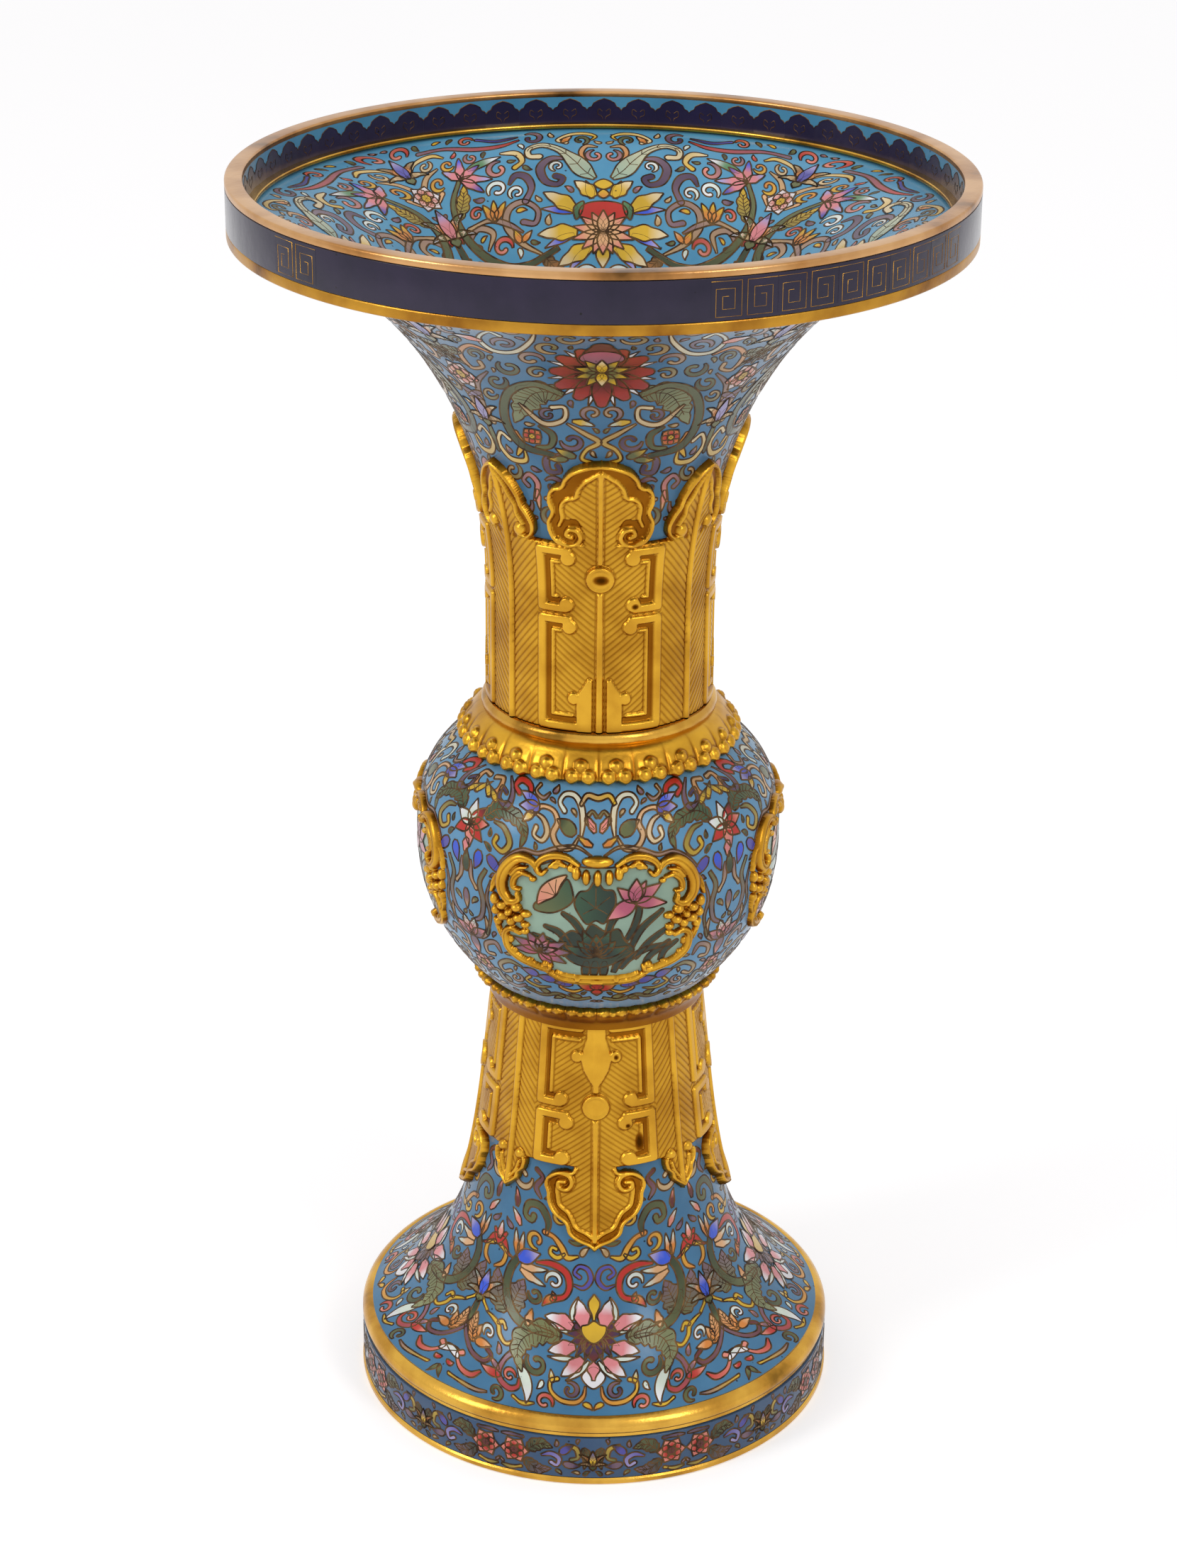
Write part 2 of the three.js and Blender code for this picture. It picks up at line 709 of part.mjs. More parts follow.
function trumpetInnerEnamel() {
  const back = along(flareCurve, liningStart, 1, ENAMEL - liningDepth);
  return turned([...back, ...along(flareCurve, liningStart, 1, -liningDepth).reverse()]);
}

add(
  "neck_ring",
  plainRing(neckBoreR, neckBoreR + NECK_RING_PROUD, zNeckRing, zNeck - SEAM, NECK_RING_HEIGHT / 4),
  gilt(),
);
add("trumpet_core", trumpetCore(), copper());
add("trumpet_outer_enamel", trumpetOuterEnamel(), turquoise());
add("trumpet_inner_enamel", trumpetInnerEnamel(), turquoise());

add("lower_leaf_sleeve", leafSleeve(LOWER_LEAF, zWaist - SEAM, -1, [...footSkin, ...footBare]), gilt());
add("upper_leaf_sleeve", leafSleeve(UPPER_LEAF, zNeck, 1, [...neckBare, ...flareSkin]), gilt());

// Mouth collar
const collarInnerR = COLLAR_R - COLLAR_WALL;
const bandLow = zCollar + COLLAR_RING_HEIGHT + SEAM;
const bandHigh = zTop - LIP_HEIGHT - SEAM;
const filletLow = zMouth + liningDepth + SEAM;

add("collar_base_ring", plainRing(flareEdgeR + SEAM, COLLAR_R, zCollar, bandLow - SEAM, ROUNDING), gilt());
add("collar_core", plainRing(collarInnerR + SKIN, COLLAR_R - SKIN, bandLow, bandHigh), copper());
add("collar_outer_enamel", plainRing(COLLAR_R - ENAMEL, COLLAR_R, bandLow, bandHigh), navy());
add(
  "collar_inner_enamel",
  plainRing(collarInnerR, collarInnerR + ENAMEL, filletLow + FILLET_HEIGHT + SEAM, bandHigh),
  turquoise(),
);
add(
  "collar_inner_fillet",
  plainRing(collarInnerR - FILLET_WIDTH, collarInnerR + ENAMEL, filletLow, filletLow + FILLET_HEIGHT),
  gilt(),
);
add("mouth_lip_ring", plainRing(collarInnerR, COLLAR_R, bandHigh + SEAM, zTop, ROUNDING), gilt());

export default vase;
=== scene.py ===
"""Looks of the beaker vase: gilt relief, wired enamel, plain white studio."""

import math

import bpy
import numpy as np
from mathutils import Matrix, Vector
from mathutils.geometry import delaunay_2d_cdt


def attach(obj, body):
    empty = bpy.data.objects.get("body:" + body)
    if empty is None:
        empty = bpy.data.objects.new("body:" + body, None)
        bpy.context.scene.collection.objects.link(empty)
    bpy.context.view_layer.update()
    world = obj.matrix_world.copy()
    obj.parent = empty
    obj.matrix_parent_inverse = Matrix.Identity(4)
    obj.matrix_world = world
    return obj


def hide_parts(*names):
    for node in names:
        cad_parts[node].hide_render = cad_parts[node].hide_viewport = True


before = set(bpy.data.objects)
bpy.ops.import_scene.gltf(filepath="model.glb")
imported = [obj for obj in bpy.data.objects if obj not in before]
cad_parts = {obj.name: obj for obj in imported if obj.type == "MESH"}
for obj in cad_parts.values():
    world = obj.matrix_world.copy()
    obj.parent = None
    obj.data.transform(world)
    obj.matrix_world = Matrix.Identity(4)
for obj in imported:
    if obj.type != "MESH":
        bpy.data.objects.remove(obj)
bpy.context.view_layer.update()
MM = 0.001

# Sizes in millimetres, the same as those of the solids
FOOT_R, FOOT_EDGE_R, WAIST_R = 67.0, 64.5, 27.0
Z_BAND, Z_BAND_TOP, Z_FOOT, Z_WAIST = 2.1, 14.9, 20.5, 122.5
FOOT_BORE_R, Z_FOOT_TUBE, Z_FOOT_TUBE_TOP = 24.0, 88.0, 138.0
KNOP_R, KNOP_HALF, KNOP_SHOULDER = 49.1, 50.6, 35.2
Z_KNOP, Z_KNOP_MIDDLE, Z_KNOP_TOP, Z_KNOP_CROWN = 130.5, 167.7, 199.1, 204.0
KNOP_TUCK = 1.6
NECK_R, Z_RING, Z_NECK, Z_FLARE, Z_MOUTH = 28.4, 205.5, 209.5, 240.0, 336.0
NECK_BORE_R, Z_FLOOR, Z_FLOOR_TOP = 24.2, 191.1, 192.9
COLLAR_R, COLLAR_INNER_R, FLARE_EDGE_R, Z_COLLAR, Z_TOP = 95.0, 90.4, 90.5, 335.0, 350.0
Z_NAVY, Z_LIP, Z_LINING, Z_LINING_TOP = 337.9, 348.0, 341.4, 348.6
LINING = 4.2
SKIN = 0.6
CORE_DEPTH = 1.2
AXIS_R = 0.01
# Heights between which the enamel of the foot, of the flare and of its lining lies
FOOT_SKIN, FLARE_SKIN, LINING_SKIN = (Z_FOOT, 90), (256, 337), (266, 341)
SIDES = ("front", "right", "back", "left")


def linear(rgb):
    """A colour given as 0 to 255 screen values, as linear light."""
    c = np.asarray(rgb, float) / 255
    return np.where(c <= 0.04045, c / 12.92, ((c + 0.055) / 1.055) ** 2.4)


# Materials: scales of their textures, depths in metres, and shares of a texture at which tones change
GRAIN_SCALE, GRAIN_DEPTH = 900, 0.00008
WAVE_SCALE, WAVE_DEPTH = 260, 0.0001
CLOUD_SCALE, PIT_SCALE = 90, 150
BUMP_STRENGTH = 0.6
WEAR_STOPS = (0.28, 0.38, 0.58)
CLOUD_STOPS = (0.3, 0.7)
PIT_STOPS = (0.03, 0.06)
PIT_SHARE = 0.9
PIT_BLACK, WHITE = (0.02, 0.02, 0.03), (1, 1, 1)
CLOUD_DARK, CLOUD_LIGHT = (0.8, 0.8, 0.8), (1.1, 1.1, 1.1)
ENAMEL_ROUGHNESS, ENAMEL_SHINE = 0.2, 0.3
ENAMEL_HAZE, HAZE_ROUGHNESS = 0.55, 0.3


def node_material(name, roughness, metallic):
    made = bpy.data.materials.new(name)
    made.use_nodes = True
    shader = made.node_tree.nodes["Principled BSDF"]
    shader.inputs["Roughness"].default_value = roughness
    shader.inputs["Metallic"].default_value = metallic
    return made, made.node_tree, shader


def texture(tree, kind, scale):
    """A pattern that stays with the piece."""
    place = tree.nodes.new("ShaderNodeTexCoord")
    made = tree.nodes.new(kind)
    made.inputs["Scale"].default_value = scale
    tree.links.new(place.outputs["Object"], made.inputs["Vector"])
    return made


def noise(tree, scale, detail=2.0):
    made = texture(tree, "ShaderNodeTexNoise", scale)
    made.inputs["Detail"].default_value = detail
    return made.outputs["Fac"]


def own_tint(tree):
    """The colours that the points of a piece carry."""
    made = tree.nodes.new("ShaderNodeAttribute")
    made.attribute_name = "tint"
    return made.outputs["Color"]


def ramp(tree, source, stops, colours):
    made = tree.nodes.new("ShaderNodeValToRGB")
    while len(made.color_ramp.elements) < len(stops):
        made.color_ramp.elements.new(0.5)
    for element, at, colour in zip(made.color_ramp.elements, stops, colours):
        element.position = at
        element.color = (*colour, 1)
    tree.links.new(source, made.inputs["Fac"])
    return made.outputs["Color"]


def mix(tree, kind, share, a, b):
    made = tree.nodes.new("ShaderNodeMix")
    made.data_type = "RGBA"
    made.blend_type = kind
    for socket, value in ((made.inputs["Factor"], share), (made.inputs["A"], a), (made.inputs["B"], b)):
        if isinstance(value, bpy.types.NodeSocket):
            tree.links.new(value, socket)
        else:
            socket.default_value = value
    return made.outputs["Result"]


def bump(tree, shader, height, distance):
    made = tree.nodes.new("ShaderNodeBump")
    made.inputs["Strength"].default_value = BUMP_STRENGTH
    made.inputs["Distance"].default_value = distance
    tree.links.new(height, made.inputs["Height"])
    tree.links.new(made.outputs["Normal"], shader.inputs["Normal"])


def gilt(name, bright, dull, wear_scale, roughness, patina=1.0, tinted=False):
    """Metal worn dull in patches, some darkened by patina; tinted pieces carry their own tint, which holds
    patina, real stains and painted shade.
    """
    made, tree, shader = node_material(name, roughness, 1.0)
    tones = (patina * linear(dull), linear(dull), linear(bright))
    colour = ramp(tree, noise(tree, wear_scale, 4.0), WEAR_STOPS, tones)
    if tinted:
        colour = mix(tree, "MULTIPLY", 1.0, colour, own_tint(tree))
    tree.links.new(colour, shader.inputs["Base Color"])
    bump(tree, shader, noise(tree, GRAIN_SCALE, 3.0), GRAIN_DEPTH)
    return made


def enamel(name, colour=None, deep=None):
    """Polished enamel, a little uneven, with a few black pits; drawn cells carry their own colours."""
    made, tree, shader = node_material(name, ENAMEL_ROUGHNESS, 0.0)
    shader.inputs["Specular IOR Level"].default_value = ENAMEL_SHINE
    shader.inputs["Sheen Weight"].default_value = ENAMEL_HAZE
    shader.inputs["Sheen Roughness"].default_value = HAZE_ROUGHNESS
    cloud = noise(tree, CLOUD_SCALE, 5.0)
    if colour is None:
        shade = ramp(tree, cloud, CLOUD_STOPS, (CLOUD_DARK, CLOUD_LIGHT))
        base = mix(tree, "MULTIPLY", 1.0, own_tint(tree), shade)
    else:
        base = ramp(tree, cloud, CLOUD_STOPS, (linear(deep), linear(colour)))
    pits = texture(tree, "ShaderNodeTexVoronoi", PIT_SCALE)
    spots = ramp(tree, pits.outputs["Distance"], PIT_STOPS, (PIT_BLACK, WHITE))
    base = mix(tree, "MULTIPLY", PIT_SHARE, base, spots)
    tree.links.new(base, shader.inputs["Base Color"])
    bump(tree, shader, noise(tree, WAVE_SCALE), WAVE_DEPTH)
    return made


GILT = gilt("gilt", (216, 168, 70), (182, 132, 50), 60, 0.25, 0.5)
GILT_DARK = gilt("gilt_dark", (186, 136, 48), (146, 98, 34), 60, 0.3, 0.4)
GILT_RELIEF = gilt("gilt_relief", (211, 160, 50), (188, 136, 40), 80, 0.32, 0.9, True)
GILT_RIM = gilt("gilt_rim", (206, 160, 108), (170, 120, 68), 45, 0.28, 0.35)
WIRE = gilt("wire", (98, 74, 48), (58, 44, 34), 300, 0.4)
COPPER = gilt("copper", (150, 112, 84), (96, 72, 58), 70, 0.5)
TURQUOISE = enamel("turquoise", (70, 122, 158), (58, 108, 144))
INNER_TURQUOISE = enamel("inner_turquoise", (84, 152, 186), (72, 138, 174))
KNOP_BLUE = enamel("knop_blue", (98, 152, 188), (84, 136, 172))
BAND_BLUE = enamel("band_blue", (66, 92, 122), (50, 78, 112))
NAVY = enamel("navy", (44, 36, 60), (32, 27, 48))
CELLS = enamel("cells")


# Turned pieces: points round the axis, steps of a rounded corner, of a curve and of the knop's line
AROUND = 192
CORNER_STEPS = 5
CURVE_STEPS = 160
KNOP_STEPS = 140
SHARP_TURN = 28


def make(name, points, faces, material, nodes=(), tint=None, smooth_angle=180):
    """A piece from millimetre points, riding on the vase and standing for some of its solids."""
    mesh = bpy.data.meshes.new(name)
    mesh.from_pydata((np.asarray(points, float) * MM).tolist(), [], faces)
    mesh.shade_smooth()
    mesh.set_sharp_from_angle(angle=math.radians(smooth_angle))
    if tint is not None:
        colours = np.ones((len(points), 4), np.float32)
        colours[:, :3] = tint
        mesh.color_attributes.new("tint", "FLOAT_COLOR", "POINT").data.foreach_set("color", colours.ravel())
    mesh.materials.append(material)
    made = bpy.data.objects.new(name, mesh)
    bpy.context.scene.collection.objects.link(made)
    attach(made, "root")
    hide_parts(*nodes)


def grid_faces(rows, columns, closed_rows=False, closed_columns=False):
    faces = []
    for i in range(rows if closed_rows else rows - 1):
        for j in range(columns if closed_columns else columns - 1):
            i2, j2 = (i + 1) % rows, (j + 1) % columns
            faces.append((i * columns + j, i * columns + j2, i2 * columns + j2, i2 * columns + j))
    return faces


def spot(radius, angle, height):
    radius, angle, height = np.broadcast_arrays(radius, angle, height)
    return np.stack([radius * np.sin(angle), -radius * np.cos(angle), height], -1)


def lathe(name, outline, material, node):
    """A closed outline of (radius, height) turned about the axis."""
    outline = np.asarray(outline, float)
    angles = np.arange(AROUND) * 2 * math.pi / AROUND
    points = spot(outline[:, :1], angles[None, :], outline[:, 1:]).reshape(-1, 3)
    faces = grid_faces(len(outline), AROUND, True, True)
    make(name, points, faces, material, [node], smooth_angle=SHARP_TURN)


def rounded(inner, outer, low, high, ease, both=False):
    """Section of a ring with rounded outer corners, and inner ones too where both is set."""
    turn = np.radians(np.linspace(0, 90, CORNER_STEPS))
    ring = [(outer - ease + ease * math.sin(a), low + ease - ease * math.cos(a)) for a in turn]
    ring += [(outer - ease + ease * math.cos(a), high - ease + ease * math.sin(a)) for a in turn]
    if not both:
        return [*ring, (inner, high), (inner, low)]
    ring += [(inner + ease - ease * math.sin(a), high - ease + ease * math.cos(a)) for a in turn]
    return [*ring, *[(inner + ease - ease * math.cos(a), low + ease - ease * math.sin(a)) for a in turn]]


def bezier(a, b, c, d):
    t = np.linspace(0, 1, CURVE_STEPS)[:, None]
    a, b, c, d = map(np.asarray, (a, b, c, d))
    return (1 - t) ** 3 * a + 3 * (1 - t) ** 2 * t * b + 3 * (1 - t) * t**2 * c + t**3 * d


def set_off(line, offset):
    """A rising line moved outwards along its normals."""
    tangent = np.gradient(line, axis=0)
    tangent /= np.linalg.norm(tangent, axis=1)[:, None]
    return line + offset * np.stack([tangent[:, 1], -tangent[:, 0]], 1)


def between(line, low, high):
    return line[(line[:, 1] >= low) & (line[:, 1] <= high)]


foot_line = bezier((FOOT_EDGE_R, Z_FOOT), (32.7, 37.8), (32.4, 74.5), (WAIST_R, Z_WAIST))
flare_line = bezier((NECK_R, Z_FLARE), (NECK_R, 298.6), (65.0, 332.2), (FLARE_EDGE_R, Z_MOUTH))
neck_line = np.vstack([[(NECK_R, z) for z in np.arange(Z_NECK, Z_FLARE, 1.0)], flare_line])
lining_line = set_off(flare_line, -LINING)


def knop_profile(shoulder, power, top):
    """The knop: an ellipse below its middle and a shoulder of another height and squareness above."""
    z = np.linspace(Z_KNOP - KNOP_TUCK, top, KNOP_STEPS)
    below = np.sqrt(1 - np.clip((Z_KNOP_MIDDLE - z) / KNOP_HALF, 0, 1) ** 2)
    above = (1 - np.clip((z - Z_KNOP_MIDDLE) / shoulder, 0, 1) ** power) ** (1 / power)
    return np.stack([KNOP_R * below * above, z], 1)


knop_line = knop_profile(KNOP_SHOULDER, 3, Z_KNOP_TOP)
knop_ellipse = knop_profile(KNOP_HALF, 2, Z_KNOP_CROWN)


def skin(line, thick=SKIN):
    """Closed section of a skin whose face is the line."""
    return np.vstack([line, set_off(line, -thick)[::-1]])


base = [(59, 0), (66.9, 0), (67.4, 0.4), (67.4, 1.5), (67, 2), (61.5, 2), (61.5, 0.8), (59, 0.8)]
disc = [(AXIS_R, 1.1), (61.2, 1.1), (61.2, 2.3), (AXIS_R, 2.3)]
band = rounded(66.1, FOOT_R, Z_BAND, Z_BAND_TOP, 0.15)
moulding = [(64, 15), (66.2, 15), (66.5, 15.3), (66.5, 16.2), (66.9, 16.6), (67.2, 17.3), (67.15, 18.2),
            (66.8, 19.2), (66.2, 20), (65.4, 20.6), (64.7, 20.8), (64, 20.6)]
tube = np.vstack([between(foot_line, Z_FOOT_TUBE, Z_WAIST), [(WAIST_R, Z_FOOT_TUBE_TOP)],
                  [(FOOT_BORE_R, Z_FOOT_TUBE_TOP), (FOOT_BORE_R, Z_FOOT_TUBE)]])
bore = [(NECK_BORE_R, 270), (NECK_BORE_R, Z_FLOOR_TOP), (AXIS_R, Z_FLOOR_TOP), (AXIS_R, Z_FLOOR),
        (NECK_R, Z_FLOOR), (NECK_R, Z_FLARE), (28.2, 262)]
collar_lining = [(COLLAR_INNER_R, Z_LINING), (91.2, Z_LINING), (91.2, Z_LINING_TOP),
                 (COLLAR_INNER_R, Z_LINING_TOP)]
lathe("foot_base", base, GILT, "foot_base_ring")
lathe("base_disc", disc, GILT, "base_plate")
lathe("foot_band", band, BAND_BLUE, "foot_band_enamel")
lathe("foot_moulding", moulding, GILT, "foot_moulding_ring")
lathe("foot_skin", skin(between(foot_line, *FOOT_SKIN)), TURQUOISE, "foot_enamel")
lathe("foot_copper", tube, COPPER, "foot_core")
lathe("knop_skin", skin(knop_line), KNOP_BLUE, "knop_enamel")
lathe("knop_copper", skin(set_off(knop_line, -CORE_DEPTH)), COPPER, "knop_core")
lathe("neck_bead", rounded(28.7, 31.6, Z_RING, 209.3, 1.6), GILT, "neck_ring")
lathe("flare_skin", skin(between(flare_line, *FLARE_SKIN)), TURQUOISE,
      "trumpet_outer_enamel")
lathe("flare_lining", skin(between(lining_line, *LINING_SKIN), -SKIN), INNER_TURQUOISE,
      "trumpet_inner_enamel")
lathe("trumpet_copper", bore, COPPER, "trumpet_core")
lathe("mouth_base", rounded(90.3, COLLAR_R, Z_COLLAR, Z_NAVY, 0.5), GILT_DARK,
      "collar_base_ring")
lathe("mouth_navy", rounded(94.2, COLLAR_R, Z_NAVY, Z_LIP, 0.1), NAVY, "collar_outer_enamel")
lathe("mouth_copper", rounded(91.6, 93.8, 338.2, 347.7, 0.1), COPPER, "collar_core")
lathe("mouth_lining", collar_lining, INNER_TURQUOISE, "collar_inner_enamel")
lathe("mouth_fillet", rounded(87.8, 91.2, 340.4, 341.6, 0.4, True), GILT,
      "collar_inner_fillet")
lathe("mouth_lip", rounded(COLLAR_INNER_R, COLLAR_R, Z_LIP, Z_TOP, 0.55, True), GILT_RIM,
      "mouth_lip_ring")

# Gilt relief: each surface is raised above a turned one by a drawn height


class Surface:
    """A turned surface given by a rising line, measured by its length from the lower end."""

    def __init__(self, line, inward=False):
        self.line = line
        self.side = -1 if inward else 1
        steps = np.linalg.norm(np.diff(line, axis=0), axis=1)
        self.length = np.concatenate([[0], np.cumsum(steps)])
        self.normal = self.side * (set_off(line, 1) - line)

    def reach(self, height):
        """Length along the line up to a height."""
        return float(np.interp(height, self.line[:, 1], self.length))

    def radius(self, s):
        return np.interp(s, self.length, self.line[:, 0])

    def place(self, angle, s, lift):
        r, z = (np.interp(s, self.length, self.line[:, k]) for k in (0, 1))
        out, up = (np.interp(s, self.length, self.normal[:, k]) for k in (0, 1))
        return spot(r + out * lift, angle, z + up * lift)


class Heights(Surface):
    """A turned surface measured by heights, its own or those of a plainer line on which it was drawn."""

    def __init__(self, line, inward=False, drawn=None):
        super().__init__(line, inward)
        drawn = line if drawn is None else drawn
        self.length = np.interp(self.length, Surface(drawn).length, drawn[:, 1])


def smooth(points, step=0.5, closed=False):
    """An even line that passes smoothly through a few points."""
    p = np.asarray(points, float)
    ends = (p[-1:], p[:2]) if closed else (2 * p[:1] - p[1:2], 2 * p[-1:] - p[-2:-1])
    p = np.vstack([ends[0], p, ends[1]])
    made = []
    for a, b, c, d in zip(p[:-3], p[1:-2], p[2:-1], p[3:]):
        t = np.linspace(0, 1, max(2, int(np.linalg.norm(c - b) / step) + 1), endpoint=False)[:, None]
        curve = 2 * b + (c - a) * t + (2 * a - 5 * b + 4 * c - d) * t**2 + (3 * b - a - 3 * c + d) * t**3
        made.append(0.5 * curve)
    if not closed:
        made.append(p[-2:-1])
    return np.vstack(made)


def distance(x, y, line):
    """Distance of places from a line, and how far along it the nearest point lies, from 0 to 1."""
    best, share = np.full(x.shape, 1e9), np.zeros(x.shape)
    for k, ((ax, ay), (bx, by)) in enumerate(zip(line[:-1], line[1:])):
        dx, dy = bx - ax, by - ay
        t = np.clip(((x - ax) * dx + (y - ay) * dy) / (dx * dx + dy * dy + 1e-12), 0, 1)
        gap = np.hypot(x - ax - t * dx, y - ay - t * dy)
        share = np.where(gap < best, (k + t) / (len(line) - 1), share)
        best = np.minimum(best, gap)
    return best, share


def depth_in(x, y, outline):
    """Distance inside a closed outline, negative outside."""
    loop = np.vstack([outline, outline[:1]])
    odd = np.zeros(x.shape, bool)
    for (ax, ay), (bx, by) in zip(loop[:-1], loop[1:]):
        if ay != by:
            odd ^= ((ay > y) != (by > y)) & (x < ax + (y - ay) * (bx - ax) / (by - ay))
    return distance(x, y, loop)[0] * np.where(odd, 1, -1)


BAR_EDGE = 0.35


def flat_bar(gap, half, height):
    return height * np.clip((half - gap) / BAR_EDGE + 0.5, 0, 1)


def round_bar(gap, half, height):
    return height * np.sqrt(np.clip(1 - (gap / half) ** 2, 0, 1))


# Tint of the brown in the recesses, and how much darker the real stains and the painted shade over it are
RECESS = np.array([0.34, 0.2, 0.09])
STAIN_AND_SHADE = 0.75


def relief(name, surface, angle, s, lift, recess, nodes, hidden=-0.35):
    """A gilt mesh over a grid of angles and lengths; parts that sink under the surface are left out."""
    points = surface.place(angle, s, lift).reshape(-1, 3)
    sunk = (lift < hidden).ravel()
    faces = [f for f in grid_faces(*lift.shape) if not all(sunk[list(f)])]
    kept = np.unique(np.asarray(faces))
    order = np.full(len(points), -1)
    order[kept] = np.arange(len(kept))
    faces = [tuple(order[list(f)]) for f in faces]
    # Brown share: patina and real stains, with painted shade in hollows, in folds and at the foot of raised
    # work
    share = recess.reshape(-1, 1)[kept]
    tint = (1 + np.clip(share, 0, 1) * (RECESS - 1)) * (1 - STAIN_AND_SHADE * np.clip(share - 1, 0, 1))
    make(name, points[kept], faces, GILT_RELIEF, nodes, tint)


# Leaves of the sleeves, measured across from the middle rib and along from the seat: the panel's edge, the
# tip, half a quarter's width, the boss and the spacing of the hatching; the large head with its field,
# ridge and volute; the small head with its ridge and curl; fret bars, round knobs (x, y, radius) and lines
# inside them; the stem at the seat, and worn spots (x, y, half width, half height)
UPPER = {
    "panel": 51.7, "tip": 76.4, "half": 27.3, "boss": 42.6, "hatch": 1.45,
    "head": [(4.2, 50.0), (5.2, 51.6), (8.8, 51.5), (11.5, 52.6), (13.0, 55.2), (13.3, 58.2), (12.0, 61.4),
             (12.6, 64.0), (12.1, 67.0), (10.7, 68.8), (9.1, 69.4), (8.0, 71.8), (5.9, 74.2), (2.6, 75.9),
             (0, 76.4)],
    "field": [(4.2, 51.2), (4.5, 56.0), (5.8, 59.4), (8.4, 59.2)],
    "ridge": [(10.2, 57.4), (9.3, 59.8), (9.5, 62.2), (8.9, 64.2), (7.6, 65.4), (5.8, 66.0), (5.1, 68.2),
              (3.8, 70.4), (1.8, 72.2), (0.2, 73.6)],
    "volute": [(10.6, 53.4), (8.2, 52.0), (6.0, 52.5), (4.9, 54.3), (5.7, 56.4), (7.6, 56.7), (8.4, 55.2),
               (7.2, 54.5)],
    "side": [(4.0, 50.0), (5.0, 51.6), (7.6, 51.8), (9.6, 53.6), (10.1, 56.4), (8.9, 59.4), (7.5, 61.6),
             (7.0, 64.0), (5.4, 67.2), (2.8, 70.6), (0, 72.4)],
    "side_ridge": [(6.6, 55.8), (5.0, 58.4), (4.8, 61.0), (3.4, 63.4), (2.2, 66.4), (0.3, 69.4)],
    "side_curl": (5.2, 53.9, 1.7),
    "bars": [[(8.6, 30.6), (16.1, 30.6), (16.1, 1.0), (6.4, 1.0)],
             [(9.2, 33.8), (16.1, 33.8), (16.1, 50.0), (8.6, 50.0)]],
    "knobs": [(8.2, 28.8, 1.9), (9.0, 34.9, 1.9), (8.4, 48.0, 1.9), (6.9, 9.0, 1.6)],
    "lines": [[(10.8, 27.6), (12.9, 27.6), (12.9, 4.2), (7.4, 4.2)],
              [(11.6, 37.0), (12.9, 37.0), (12.9, 46.8), (11, 46.8)]],
    "stem": [(2.0, -1), (6.1, -1), (6.1, 7.2), (5.6, 10.4), (4.4, 12.2), (3.0, 14.6), (2.0, 14.2)],
    "worn": [(0.2, 42.6, 2.1, 1.4), (9.3, 34.6, 1.0, 0.8)],
}
LOWER = {
    "panel": 42.2, "tip": 66.2, "half": 24.3, "boss": 24.2, "hatch": 1.3,
    "head": [(5.4, 40), (5.8, 43.4), (8.4, 43.6), (11.4, 44.8), (13.0, 47.8), (12.2, 50.6), (11.8, 53.4),
             (10.2, 56.4), (7.2, 58.8), (6.2, 61.6), (4.2, 63.4), (1.4, 64.8), (0, 66.2)],
    "field": [(5.2, 42), (5.6, 46.6), (7.2, 49.6), (8.6, 49.3)],
    "ridge": [(9.8, 48.3), (9.4, 51.2), (8.7, 53.8), (6.6, 55.6), (5.6, 57.4), (4.4, 59.8), (2.0, 61.2),
              (0.2, 62.8)],
    "volute": [(12.2, 46.4), (9.4, 44.4), (6.8, 44.8), (5.8, 46.9), (7.0, 49.0), (9.0, 48.6), (9.2, 47.0),
               (7.8, 46.7)],
    "side": [(3.2, 40), (4.4, 41.6), (5.4, 43.4), (5.0, 46), (3.8, 47.6), (3.2, 49.6), (1.3, 51.6),
             (0, 52.8)],
    "side_ridge": [(3.2, 44.4), (2.4, 47.2), (0.3, 50.6)],
    "side_curl": (3.1, 42.0, 1.4),
    "bars": [[(9.9, 23.8), (15.7, 23.8), (15.7, 1.4), (4.6, 1.4)],
             [(8.4, 27.4), (15.7, 27.4), (15.7, 41.0), (9.2, 41.0)]],
    "knobs": [(9.7, 22.6, 1.9), (8.0, 29.4, 1.9), (8.8, 40.0, 2.0), (5.5, 9.6, 1.6)],
    "lines": [[(12.8, 20.8), (12.8, 4.8), (4.8, 4.8)], [(12.6, 30.6), (12.6, 37.6)]],
    "stem": [(-1, -1), (2.6, -1), (2.6, 4), (3.7, 7.6), (4.2, 10.6), (3.4, 13.6), (2.0, 16.2), (0.3, 18.8),
             (-1, 18.8)],
    "worn": [(11.8, 35.6, 1.3, 3.0), (8.6, 30.1, 0.7, 0.7), (5.6, 9.6, 0.7, 0.8)],
}
PLATE = 1.5
SLEEVE_GRID = 0.27
# Raised work of the sleeves, as (half width, height), and heights of the work that is given by its outline
FRET_BAR, FRET_LINE = (1.05, 0.65), (0.45, 0.45)
HEAD_RIM, SIDE_RIM = (0.5, 0.9), (0.45, 0.85)
HEAD_RIDGE, SIDE_RIDGE = (0.5, 0.55), (0.45, 0.5)
VOLUTE, BOSS, BOSS_RING = (0.7, 1.05), (3.7, 0.95), (0.5, 0.25)
KNOB_RISE, STEM_RISE, CURL_RISE, RIB_RISE, SIDE_RIB_RISE = 0.7, 0.6, 1.0, 0.85, 0.8
BOSS_CLEAR, BOSS_RING_R = 4.2, 3.1
# Half width of the middle ribs at the seat, how much of it is lost by the tip, and the side ribs' share
RIB_SEAT, RIB_LOSS, SIDE_RIB_SHARE = 1.1, 0.5, 0.85
# Where the heads and their rims start beside the panel's edge, and how far past its outline a head counts
HEAD_FROM, SIDE_FROM, HEAD_RIM_FROM, SIDE_RIM_FROM, HEAD_SLACK = -0.2, -0.6, 0.3, 0.5, 0.05
